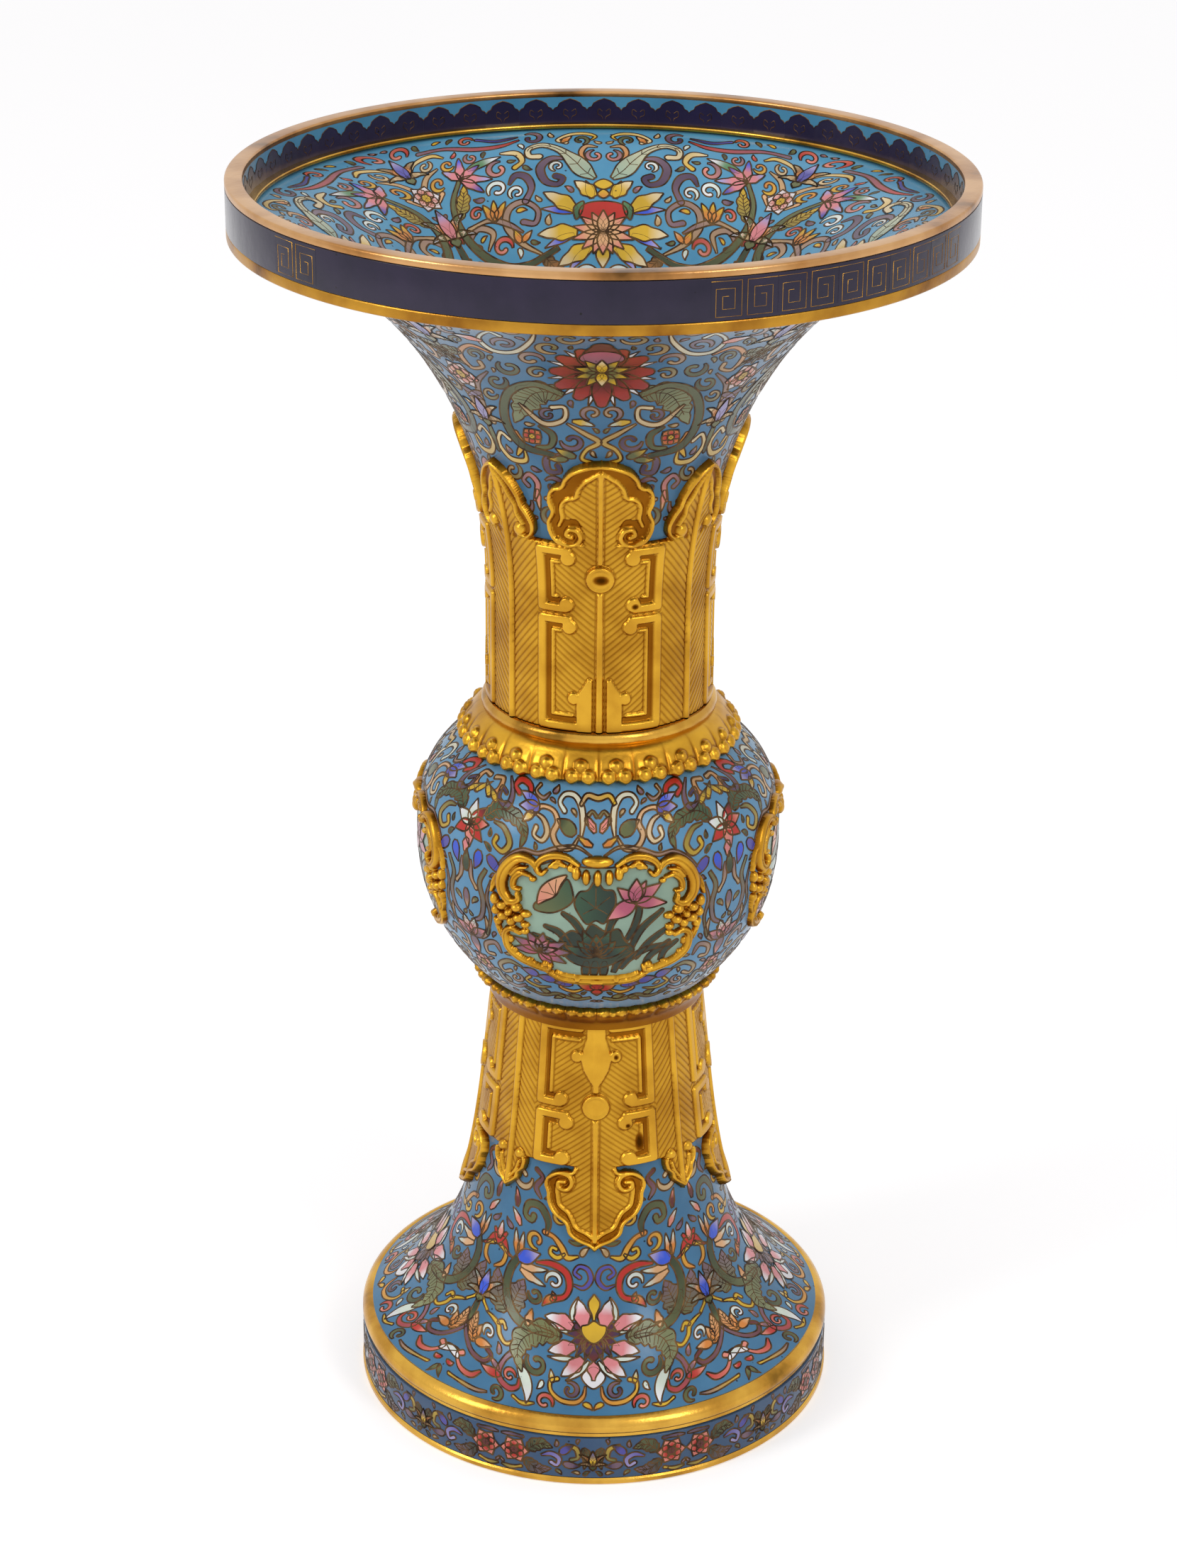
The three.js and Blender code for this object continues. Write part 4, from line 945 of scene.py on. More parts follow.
    def rosette(self, x, y, size, petals, heart, colour, tip, layer, mirror=True):
        """A round flower of petals about a heart."""
        width = ROSETTE_SPREAD * size * math.sin(math.pi / petals)
        for k in range(petals):
            self.petal(x, y, 360 * (k + 0.5) / petals, size, width, colour, tip, 0, PETAL, layer, mirror)
        self.disc(x, y, ROSETTE_HEART * size, heart, layer + 1, mirror)

    def fill_ground(self, low, high, least, between, colours, blocks=()):
        """Curls over the ground left free, the widest gap first, and leaflets where it is small."""
        span = math.pi * self.surface.radius(np.linspace(low, high, 9)).max() / self.turns
        grid = np.meshgrid(np.arange(0, span, FILL_GRID), np.arange(low, high, FILL_GRID))
        x, y = (part.ravel() for part in grid)
        edge = math.pi * self.surface.radius(y) / self.turns
        room = np.minimum(np.minimum(x, edge - x) + SIDE_SLACK, np.minimum(y - low, high - y) + END_SLACK)
        for hand in (1, -1):
            for outline in [*[cell[0] for cell in self.cells], *blocks]:
                room = np.minimum(room, -depth_in(hand * x, y, outline))
            for outline in [cell[0] for cell in between.cells]:
                room = np.minimum(room, -depth_in(hand * (x - edge), y, outline))
        for k in range(FILL_COUNT):
            at = int(np.argmax(room))
            radius = min(room[at] - FILL_CLEAR, FILL_MOST)
            if radius < least:
                break
            hand = 1 if k % 2 else -1
            root, tip = colours[k % len(colours)]
            start = FILL_TURN * k
            if radius < CURL_LEAST:
                foot_x = x[at] - LEAFLET_REACH * radius * math.sin(start)
                foot_y = y[at] - LEAFLET_REACH * radius * math.cos(start)
                length, width = 2 * LEAFLET_REACH * radius, LEAFLET_WIDTH * radius
                bend = LEAFLET_BEND * hand
                heading = math.degrees(start) - bend / 2
                self.petal(foot_x, foot_y, heading, length, width, root, tip, bend, LEAF)
            else:
                spiral = np.linspace(0, 1, 16)
                angle = start + hand * CURL_WIND * spiral
                reach = radius * (1 - CURL_CLOSE * spiral)
                line = np.stack([x[at] + reach * np.sin(angle), y[at] + reach * np.cos(angle)], 1)
                self.blade(smooth(line, 0.6), CURL_SHARE * radius + CURL_EXTRA, root, tip)
            room = np.minimum(room, np.hypot(x - x[at], y - y[at]) - radius - FILL_APART)

    def lay(self, points, lift, turn, flip):
        x = -points[:, 0] if flip else points[:, 0]
        swing = self.surface.side * x / self.surface.radius(points[:, 1])
        angle = self.first + turn * 2 * math.pi / self.turns + swing
        return self.surface.place(angle, points[:, 1], lift)

    def repeats(self, mirror):
        """Every copy of a cell or wire, as its turn and whether it is mirrored."""
        return [(turn, flip) for flip in ((False, True) if mirror else (False,)) for turn in self.shown]

    def build(self):
        """One piece of cells and one of wires, with every mirrored and turned repeat."""
        spots, faces, tints = [], [], []
        wire_spots, wire_faces = [], []
        count = wire_count = 0
        for outline, shade, layer, mirror in self.cells:
            flat, triangles = fill(outline)
            colour = shade(flat)
            for turn, flip in self.repeats(mirror):
                spots.append(self.lay(flat, CELL_LIFT + LAYER * layer, turn, flip))
                tints.append(colour)
                faces += [tuple(count + k for k in (t[::-1] if flip else t)) for t in triangles]
                count += len(flat)
        for line, layer, mirror, half in self.wires:
            side = ways(line)[1] * half
            strips = ((line - side, 0.0), (line, WIRE_RISE), (line + side, 0.0))
            order = grid_faces(3, len(line))
            for turn, flip in self.repeats(mirror):
                wire_spots += [self.lay(p, WIRE_LIFT + LAYER * layer + up, turn, flip) for p, up in strips]
                wire_faces += [tuple(wire_count + k for k in (f if flip else f[::-1])) for f in order]
                wire_count += 3 * len(line)
        make(f"{self.name}_cells", np.vstack(spots), faces, CELLS, self.nodes, np.vstack(tints))
        make(f"{self.name}_wires", np.vstack(wire_spots), wire_faces, self.metal)


def fill(outline):
    """Triangles over a closed outline, with points inside it so that they follow the curve of a surface."""
    low, high = outline.min(0), outline.max(0)
    x, y = np.meshgrid(np.arange(low[0], high[0], CELL_GRID), np.arange(low[1], high[1], CELL_GRID))
    within = depth_in(x, y, outline) > CELL_CLEAR
    points = np.vstack([outline, np.stack([x[within], y[within]], 1)])
    made = delaunay_2d_cdt([Vector(p) for p in points], [], [list(range(len(outline)))], 1, 1e-4)
    return np.array([v[:] for v in made[0]]), made[2]


def build_zone(drawing, between, low, high, least, colours, blocks=()):
    """A zone of scrolls: its repeat, the drawing between repeats, and a filled ground."""
    drawing.fill_ground(low, high, least, between, colours, blocks)
    drawing.build()
    between.build()


def lotus(d, y, size, inner, edge, heart, drop):
    """A lotus seen from the side on the middle line of a repeat; size 1 spans 27 mm across."""

    def petal(x, up, heading, length, width, root, tip, bend, profile, layer, mirror=True):
        d.petal(size * x, y + size * up, heading, size * length, size * width, root, tip, bend, profile,
                layer, mirror)

    def patch(half, colour, layer):
        d.patch([(size * x, y + size * up) for x, up in mirrored(half)], colour, colour, layer, False)

    petal(0, -1.5, 180, 7, 6.4, "plum", "maroon", 0, PETAL, 1, False)
    for heading, length in ((118, 7.5), (92, 7.6), (66, 7.2), (145, 7.8), (166, 7.6)):
        petal(0.6, -0.6, heading, length, 2.3, "maroon", "plum", 0, PETAL, 1)
    petal(6.0, 0.9, 62, 8.4, 5.0, inner, edge, 26, FLARED, 2)
    petal(7.4, -0.6, 70, 7.0, 1.5, "pale", edge, -14, PETAL, 2)
    petal(5.2, -4.4, 100, 8.0, 4.6, inner, edge, 10, FLARED, 2)
    petal(5.6, -7.8, 98, 7.6, 1.4, "pale", edge, -16, PETAL, 2)
    petal(3.2, -7.6, 138, 8.0, 4.4, inner, edge, -12, FLARED, 3)
    petal(1.4, -8.4, 148, 8.8, 1.5, "pale", edge, -34, PETAL, 3)
    patch([(0, -10), (3.2, -12.4), (2.6, -14.6), (0, -16.4)], edge, 3)
    petal(0, -14, 0, 5.2, 3.6, inner, inner, 0, DROP, 4, False)
    petal(6.2, 3.0, -2, 6.8, 1.7, "pale", edge, -28, PETAL, 2)
    petal(2.8, 1.2, 10, 7.8, 4.9, inner, edge, 6, FLARED, 3)
    petal(0, 3.2, 0, 7.0, 3.2, drop, drop, 0, DROP, 4, False)
    patch([(0, 3.0), (1.8, 1.9), (3.5, 1.4), (3.3, -0.6), (1.9, -2.4), (0, -3.4)], heart, 5)


def draw_foot():
    """A pink lotus on each side of the foot, with leafy scrolls and blue buds, and a bud between two."""
    d = Drawing("foot_scroll", Surface(foot_line), 4)
    lotus(d, 24, 0.97, "pink", "white", "yellow", "yellow")
    d.scroll([(5.8, 36.6), (3, 35.9), (1, 38.2), (1.8, 41), (4.2, 41.8), (5.5, 40), (4.1, 38.8)], 1.2,
             "violet")
    d.scroll([(16.8, 41.2), (12, 41.6), (8, 39.8), (6.9, 36.2), (8.2, 33.2), (11.6, 32)], 1.7, "red")
    d.petal(10.6, 32.6, 104, 5, 2.2, "orange", "red", 50, LEAF)
    d.petal(11, 32, 20, 2.2, 1.4, "red", "orange")
    d.petal(22.4, 40.9, -68, 7.4, 3.9, "blue", "lilac", 0, PETAL, 2)
    d.petal(21.4, 39.2, -92, 8.2, 2.3, "peach", "pale", 12, FLARED, 1)
    d.petal(21.6, 38.2, -116, 8.2, 2.5, "peach", "pale", 10, FLARED, 1)
    d.petal(22.6, 41.6, -22, 7, 2.1, "orange", "pale", 16, FLARED, 1)
    d.petal(22.8, 41.6, 8, 7.2, 2, "orange", "pale", -8, FLARED, 1)
    d.scroll([(22.4, 41), (24.8, 37.5), (26, 33), (25.2, 28.4), (22.6, 25), (18.8, 23.4), (12, 22.4)], 2.3,
             "moss", "olive", 1, True, STEM)
    d.leaf([(24.6, 26.4), (22.8, 30.4), (20.4, 35.4)], 7, "olive", "mauve", 4)
    d.leaf([(25.8, 25.6), (29, 30), (29.4, 36)], 7.4, "olive", "mauve", 4)
    d.petal(19.2, 23.6, -22, 4.8, 2.6, "peach", "orange", 10, FLARED, 1)
    d.scroll([(17.6, 24.2), (14.4, 25.2), (11.4, 24.2), (9.6, 22.4)], 1.4, "tan", "peach", 0)
    d.leaf([(9.4, 22), (15, 22.6), (19.8, 20.2), (21.8, 15.8), (20.4, 11)], 7.4, "olive", "sage", 6, 1)
    d.petal(21.4, 12.4, -138, 11, 3.2, "pale", "white", -60, LEAF)
    d.scroll([(2.2, 8.8), (2.8, 5.8), (5, 4), (9, 4.4), (11.8, 6.8), (11.9, 9.6), (10, 10.4)], 1.2,
             "orange", "yellow")
    d.petal(11.4, 9.2, 8, 3.6, 1.5, "yellow", "pale")
    d.scroll([(32.4, 23.6), (30.4, 22.9), (28.2, 21.4), (27.7, 19.2), (25.6, 17.2), (22.4, 18.4)], 1.2,
             "yellow")
    d.scroll([(28.6, 21.8), (26.6, 22.6), (25.8, 21.2)], 1.1, "yellow")
    d.scroll([(21, 8.8), (21.4, 6.4), (23.8, 5.4), (26.4, 6.8), (27.4, 9.2), (25.6, 13), (23.2, 15.4)], 1.5,
             "red", "mauve")
    d.petal(26.8, 8.4, 92, 6.4, 2.4, "red", "salmon", -30, LEAF)
    d.petal(27.4, 9.6, 40, 4, 1.6, "mauve", "salmon", 20, PETAL)
    d.scroll([(39.4, 20.4), (39.6, 16.4), (37, 12), (32.6, 10.6), (30, 12.6), (31.6, 14.2)], 1.3, "mauve",
             "maroon")
    d.leaf([(36.6, 14.4), (37, 18), (35.6, 22.2)], 3.8, "orange", "peach", 3, 1)
    d.petal(35.6, 14.6, -74, 5.4, 2.4, "orange", "peach", -26, LEAF, 1)
    d.petal(36.4, 15.4, -30, 5, 2.2, "orange", "peach", -10, LEAF, 1)
    d.scroll([(33, 29.6), (34.2, 26.6), (32.4, 24)], 1.1, "yellow")
    d.scroll([(31.4, 46.4), (29.6, 43.2), (27.8, 44), (26.2, 41.2), (24.4, 40.4)], 1.9, "red", "red", 0,
             True, LEAF)
    d.scroll([(13.6, 49.6), (13.2, 53.4), (15.6, 57.2), (19.2, 57), (20.4, 53.8), (18.4, 52.6), (17.6, 54)],
             1.8, "moss", "olive")
    d.scroll([(15.4, 59.4), (17, 62.4), (15, 65.6), (16.8, 67.6)], 1.3, "mauve", "maroon")
    d.scroll([(4.4, 44.6), (7.6, 44), (9.2, 46.6), (11.4, 49.2), (14.2, 50.2)], 1.5, "yellow", "orange")
    d.scroll([(8.2, 45), (10.4, 43.6), (12.4, 44.6), (12, 46.2), (10.8, 46)], 1.2, "yellow")
    d.petal(22, 50, 24, 5, 2.2, "salmon", "pale", 20, FLARED)
    d.petal(23.4, 55, -10, 5.4, 2, "maroon", "salmon", 30, FLARED)
    d.scroll([(33, 7.6), (36.4, 5.6), (40.2, 6.4), (41.6, 9.2), (39.6, 10.4)], 1.4, "red", "salmon")
    d.petal(41, 8.6, 60, 6, 2.2, "white", "pale", 30, LEAF)
    d.scroll([(16.4, 2.6), (20, 2), (22.6, 3.4)], 1, "yellow")
    d.scroll([(30.6, 2.6), (35, 2.2), (44, 3.4)], 1, "mauve", "yellow")
    b = Drawing("foot_between", Surface(foot_line), 4, math.pi / 4)
    b.spray(27, 7, "blue", "pale")
    b.stalk(26, 7.4, 2, "moss", "olive")
    b.scroll([(0.8, 36), (3.4, 37.8), (3.6, 41), (1.2, 42.4)], 1.3, "orange", "yellow")
    b.petal(0, 44, 0, 5, 2.4, "salmon", "white", 0, FLARED, 1, False)
    build_zone(d, b, 1, 68, 1.5, BRIGHT_TENDRILS)


def draw_lining():
    """Inside the flare: yellow lotuses with a peach flower in the heart, long jade leaves and blossoms."""
    d = Drawing("lining_scroll", Surface(lining_line, True), 4, math.pi)
    for x, y, heading, length, width, bend, hood in ((2.4, 99, 38, 7.6, 4.6, 16, -30),
                                                     (7.6, 94.6, 48, 10.6, 5, 14, 26),
                                                     (7, 87.6, 86, 10.6, 5.2, 10, 24),
                                                     (3, 83.4, 116, 10.4, 5.2, 12, 20)):
        d.petal(x, y, heading, length, width, "yellow", "cream", bend, FLARED, 2)
        d.petal(x + 0.8, y - 0.6, heading + hood, 0.82 * length, 2.3, "blue", "lilac", bend, PETAL, 1)
    d.patch(mirrored([(0, 105), (2.6, 103.2), (0, 101.4)]), "yellow", None, 3, False)
    d.patch(mirrored([(0, 101.4), (1.6, 99.8), (0, 98.4)]), "yellow", "orange", 3, False)
    d.petal(0, 83.4, 180, 6.4, 3.6, "yellow", "cream", 0, PETAL, 1, False)
    d.patch(mirrored([(0, 97.4), (5.4, 96.2), (6.2, 92.4), (0, 89)]), "red", "red", 3, False)
    d.patch([(5.4, 97.4), (8, 95.4), (7.4, 91.6), (5.8, 93.8)], "green", "leaf", 3)
    for heading, length in ((78, 8.2), (52, 7.4), (27, 6.6), (104, 8.4), (132, 7.4), (158, 6.8)):
        d.petal(0, 87.6, heading, length, 2.7, "peach", "salmon", 0, PETAL, 4)
    for heading in (0, 180):
        d.petal(0, 87.6, heading, 6.6, 3, "peach", "salmon", 0, PETAL, 5, False)
    d.blade(smooth([(2.4, 105.4), (5.4, 108.4), (8.2, 112.4), (12.4, 117.2), (17, 119.4), (20.8, 117.8),
                    (20.6, 114.8), (17.8, 114.4)], 0.6), 5.2, "jade", "cream",
            (0.14, 0.5, 0.46, 0.26, 0.2, 0.18, 0.16, 0.2), 2, True, 0, 5)
    d.scroll([(3.6, 121.6), (2.4, 123.6), (5.4, 125.2), (9.6, 124.6), (12.8, 121.8), (10.4, 120.4)], 1.3,
             "yellow", "cream")
    d.petal(11.6, 120.6, -40, 4, 2, "orange", "peach", 0, FLARED, 1)
    d.scroll([(1.8, 118.2), (4.8, 118.6), (6.2, 115.6), (5, 111.6)], 1.3, "tan", "orange")
    d.scroll([(10, 113.2), (14.6, 113.4), (17.4, 109.8), (16, 105), (12.6, 103.6), (11.2, 105.6),
              (13, 106.6)], 2, "mauve", "plum")
    d.scroll([(26.2, 104.4), (24.4, 107.6), (21.4, 106.8), (19.8, 102.8), (21.4, 98.4)], 1.9, "plum",
             "mauve")
    d.scroll([(16.6, 81.6), (22.4, 85.4), (26.8, 91), (26.2, 96.2), (22, 98.2), (18, 95.2), (18.6, 91.2),
              (22, 91.8)], 1.7, "tan", "mauve")
    for heading in (-28, 4, 34):
        d.petal(30.4, 93, heading, 6.4, 2.6, "orange", "yellow", 0, FLARED, 2)
    d.scroll([(22, 88.6), (26.6, 91.6), (32, 93.4), (38.6, 91.6)], 1.3, "mauve", "tan", 1)
    d.petal(22.8, 85.6, 24, 4.4, 2, "orange", "yellow", 0, PETAL, 1)
    d.petal(22.2, 85.8, -40, 4, 1.8, "orange", "peach", 0, PETAL, 1)
    d.scroll([(12, 83.2), (16.8, 80.4), (21, 78.8), (27, 79.2), (34.6, 83.8), (41, 91.6), (43.4, 100),
              (41.4, 107.4)], 1.8, "moss", "olive", 1, True, STEM)
    d.leaf([(42.4, 95), (40.2, 100.2), (39.8, 106)], 5, "olive", "yellow", 4)
    d.leaf([(16, 81.2), (13, 77.6), (9, 75.4)], 3.6, "moss", "orange", 3)
    for heading, length, tip in ((-98, 9.6, "lilac"), (-128, 9, "violet"), (4, 8, "blue"),
                                 (-52, 7, "violet"), (58, 6.6, "lilac")):
        d.petal(40.8, 108.4, heading, length, 2.9, "pink", tip, 0, FLARED, 2)
    d.petal(38.6, 111.4, -64, 10.4, 2.7, "green", "white", -8, LEAF, 1)
    d.scroll([(29, 116.8), (24.4, 116.4), (22.6, 113), (24.6, 110.6)], 1.7, "cream", "yellow")
    d.scroll([(23.6, 122.6), (29, 120.2), (36.4, 119.8), (46, 121.6), (54, 121)], 1.5, "red", "mauve")
    d.scroll([(24, 124.2), (30.2, 122.8), (36, 124.4)], 1.2, "navy", "violet")
    d.scroll([(32.4, 84.4), (31, 89.4), (35.6, 91.4), (38.2, 87.8), (35.2, 85.6)], 1.5, "tan", "mauve")
    d.scroll([(44.6, 88), (47, 92), (46.4, 97)], 1.5, "red", "mauve")
    d.scroll([(48, 113.6), (52, 110.4), (52.6, 104.4), (48.8, 101.8), (46.8, 104.4)], 1.7, "tan", "peach")
    d.scroll([(46, 117.6), (50, 119.2), (55.6, 117), (57.4, 112.6)], 1.4, "yellow", "cream")
    d.scroll([(36.6, 76.4), (40, 79), (39, 82.6)], 1.4, "mauve", "plum")
    d.petal(30, 73.4, 40, 7, 2.6, "salmon", "white", 20, FLARED)
    d.scroll([(6, 70), (11, 72.6), (16.4, 71), (18.6, 66.6), (15, 64.4)], 1.6, "red", "orange")
    d.scroll([(22, 70.8), (26.4, 68.4), (31, 70.2)], 1.4, "yellow", "cream")
    b = Drawing("lining_between", Surface(lining_line, True), 4, math.pi / 4)
    b.spray(90, 9, "pink", "white")
    b.stalk(89, 12, 2.2, "moss", "olive")
    b.spray(112, 8, "violet", "cream")
    b.rosette(0, 104, 4.6, 6, "yellow", "salmon", "white", 1, False)
    build_zone(d, b, 40, 126, 1.3, BRIGHT_TENDRILS)


def draw_flare():
    """Outside the flare: dark red lotuses over large leaves, with tendrils that spread to the mouth."""
    d = Drawing("flare_scroll", Surface(flare_line), 4)
    for heading, length, width in ((25, 11.6, 5.6), (56, 11.6, 5.6), (90, 11.2, 5.8), (122, 11.8, 5.6),
                                   (152, 11.8, 5.2)):
        d.petal(0, 80.4, heading, length, width, "maroon", "brick", 0, ROUND, 1)
        d.petal(0, 80.4, heading + 15, 1.2 * length, 2.4, "pale", "white", 0, PETAL, 0)
    d.petal(0, 80.4, 180, 13, 4.8, "maroon", "brick", 0, ROUND, 2, False)
    d.petal(0, 82.4, 0, 11.4, 9, "brick", "maroon", 0, ROUND, 2, False)
    d.patch(mirrored([(0, 91.6), (4.2, 90.2), (5.2, 86.6), (0, 84.2)]), "rose", "mauve", 3, False)
    for heading in (36, 74, 112, 148):
        d.petal(0, 80.8, heading, 6.8, 2.8, "olive", "yellow", 0, PETAL, 4)
    for heading in (0, 180):
        d.petal(0, 80.8, heading, 6, 3, "yellow", "cream", 0, PETAL, 5, False)
    d.scroll([(9.4, 70.4), (17, 73.6), (23.8, 68.8), (25.6, 58.6), (21.4, 50.2), (12.4, 48)], 2.2, "olive",
             "moss", 1, True, STEM)
    d.leaf([(9.8, 71), (17.2, 69.4), (22.6, 57.6)], 9.6, "olive", "sage", 6)
    d.rosette(17.8, 53.6, 2.9, 4, "yellow", "red", "orange", 2)
    d.scroll([(16, 57.6), (12.4, 55), (12.8, 51), (16.2, 49.8)], 1.6, "moss", "olive")
    d.scroll([(21.2, 65), (14.7, 58.8), (9.5, 60.6), (9.2, 65.2), (12.4, 65)], 1.4, "tan", "cream", 1)
    d.scroll([(8.6, 59.4), (4, 56), (0.6, 53.2), (3.6, 50.6), (4.8, 47.6), (2.6, 46.4)], 1.3, "tan",
             "yellow")
    d.petal(7.2, 60.4, -96, 5.6, 2.4, "yellow", "pale", -20, FLARED, 1)
    d.petal(6.4, 48, 74, 5.6, 2.3, "olive", "yellow", -20, LEAF, 1)
    d.petal(8.4, 47.2, 100, 5.2, 2, "olive", "yellow", -10, LEAF, 1)
    d.scroll([(10.6, 48.4), (14, 46.4), (13.4, 42.6), (10.6, 42.8), (11, 44.6)], 1.6, "mauve", "plum")
    d.scroll([(17.6, 32.4), (16.6, 37.8), (19, 40.4), (20.8, 38.4), (19.4, 36.8)], 1.4, "salmon", "mauve")
    d.petal(16.8, 36.2, -176, 6.4, 1.8, "salmon", "peach", 8, FLARED)
    d.scroll([(22.4, 45.8), (20.8, 50.2), (22.6, 53.8)], 1.5, "yellow", "orange")
    d.scroll([(16, 103), (17.4, 95), (21.4, 88.2), (27.4, 87.4), (30.8, 93.2), (28, 99), (25, 97)], 1.5,
             "cream", "pale")
    d.scroll([(27.6, 85.6), (33.6, 88), (37.4, 82.4), (34.6, 76.4), (31, 77.6), (31.6, 80)], 1.5, "orange",
             "tan")
    d.scroll([(29.6, 76), (33.4, 69.4), (32, 60.4), (29.4, 55.6)], 1.5, "mauve", "tan")
    d.petal(33, 70.6, 62, 7.4, 2.4, "salmon", "cream", -20, FLARED, 1)
    d.petal(32.4, 66, 110, 6, 2.2, "mauve", "lilac", 20, LEAF, 1)
    d.petal(30, 92, 74, 8.4, 2.8, "salmon", "white", 18, FLARED, 1)
    d.scroll([(33, 98), (39, 101), (45, 98), (46, 91), (41.6, 88.4)], 1.5, "mauve", "orange")
    d.leaf([(37, 83), (42.4, 82), (46.4, 76.6)], 4.8, "olive", "moss", 4)
    d.scroll([(20, 107), (28, 110), (38, 107.4), (43, 103)], 1.5, "tan", "pale")
    d.scroll([(3.6, 108), (9, 106.4), (12.6, 110), (9.4, 113)], 1.4, "olive", "pale")
    d.scroll([(14, 115), (24, 117), (36, 115), (48, 117), (60, 115)], 1.4, "mauve", "tan")
    b = Drawing("flare_between", Surface(flare_line), 4, math.pi / 4)
    b.scroll([(9.4, 48.8), (8.4, 44.8), (3.6, 44.4), (1.2, 48.4), (3.4, 52.4), (5.6, 50.8)], 1.4, "yellow",
             "cream")
    b.spray(56, 7.4, "lilac", "cream")
    b.stalk(55, 9, 1.8, "olive", "moss")
    b.rosette(0, 72, 5, 6, "yellow", "salmon", "white", 1, False)
    b.spray(88, 9.4, "violet", "pale")
    b.stalk(87, 9.6, 2, "olive", "moss")
    build_zone(d, b, 26, 122, 1.15, MUTED_TENDRILS)


# Half sizes of the place round a cartouche that gets no fill
WINDOW_WIDE, WINDOW_TALL = 29, 20


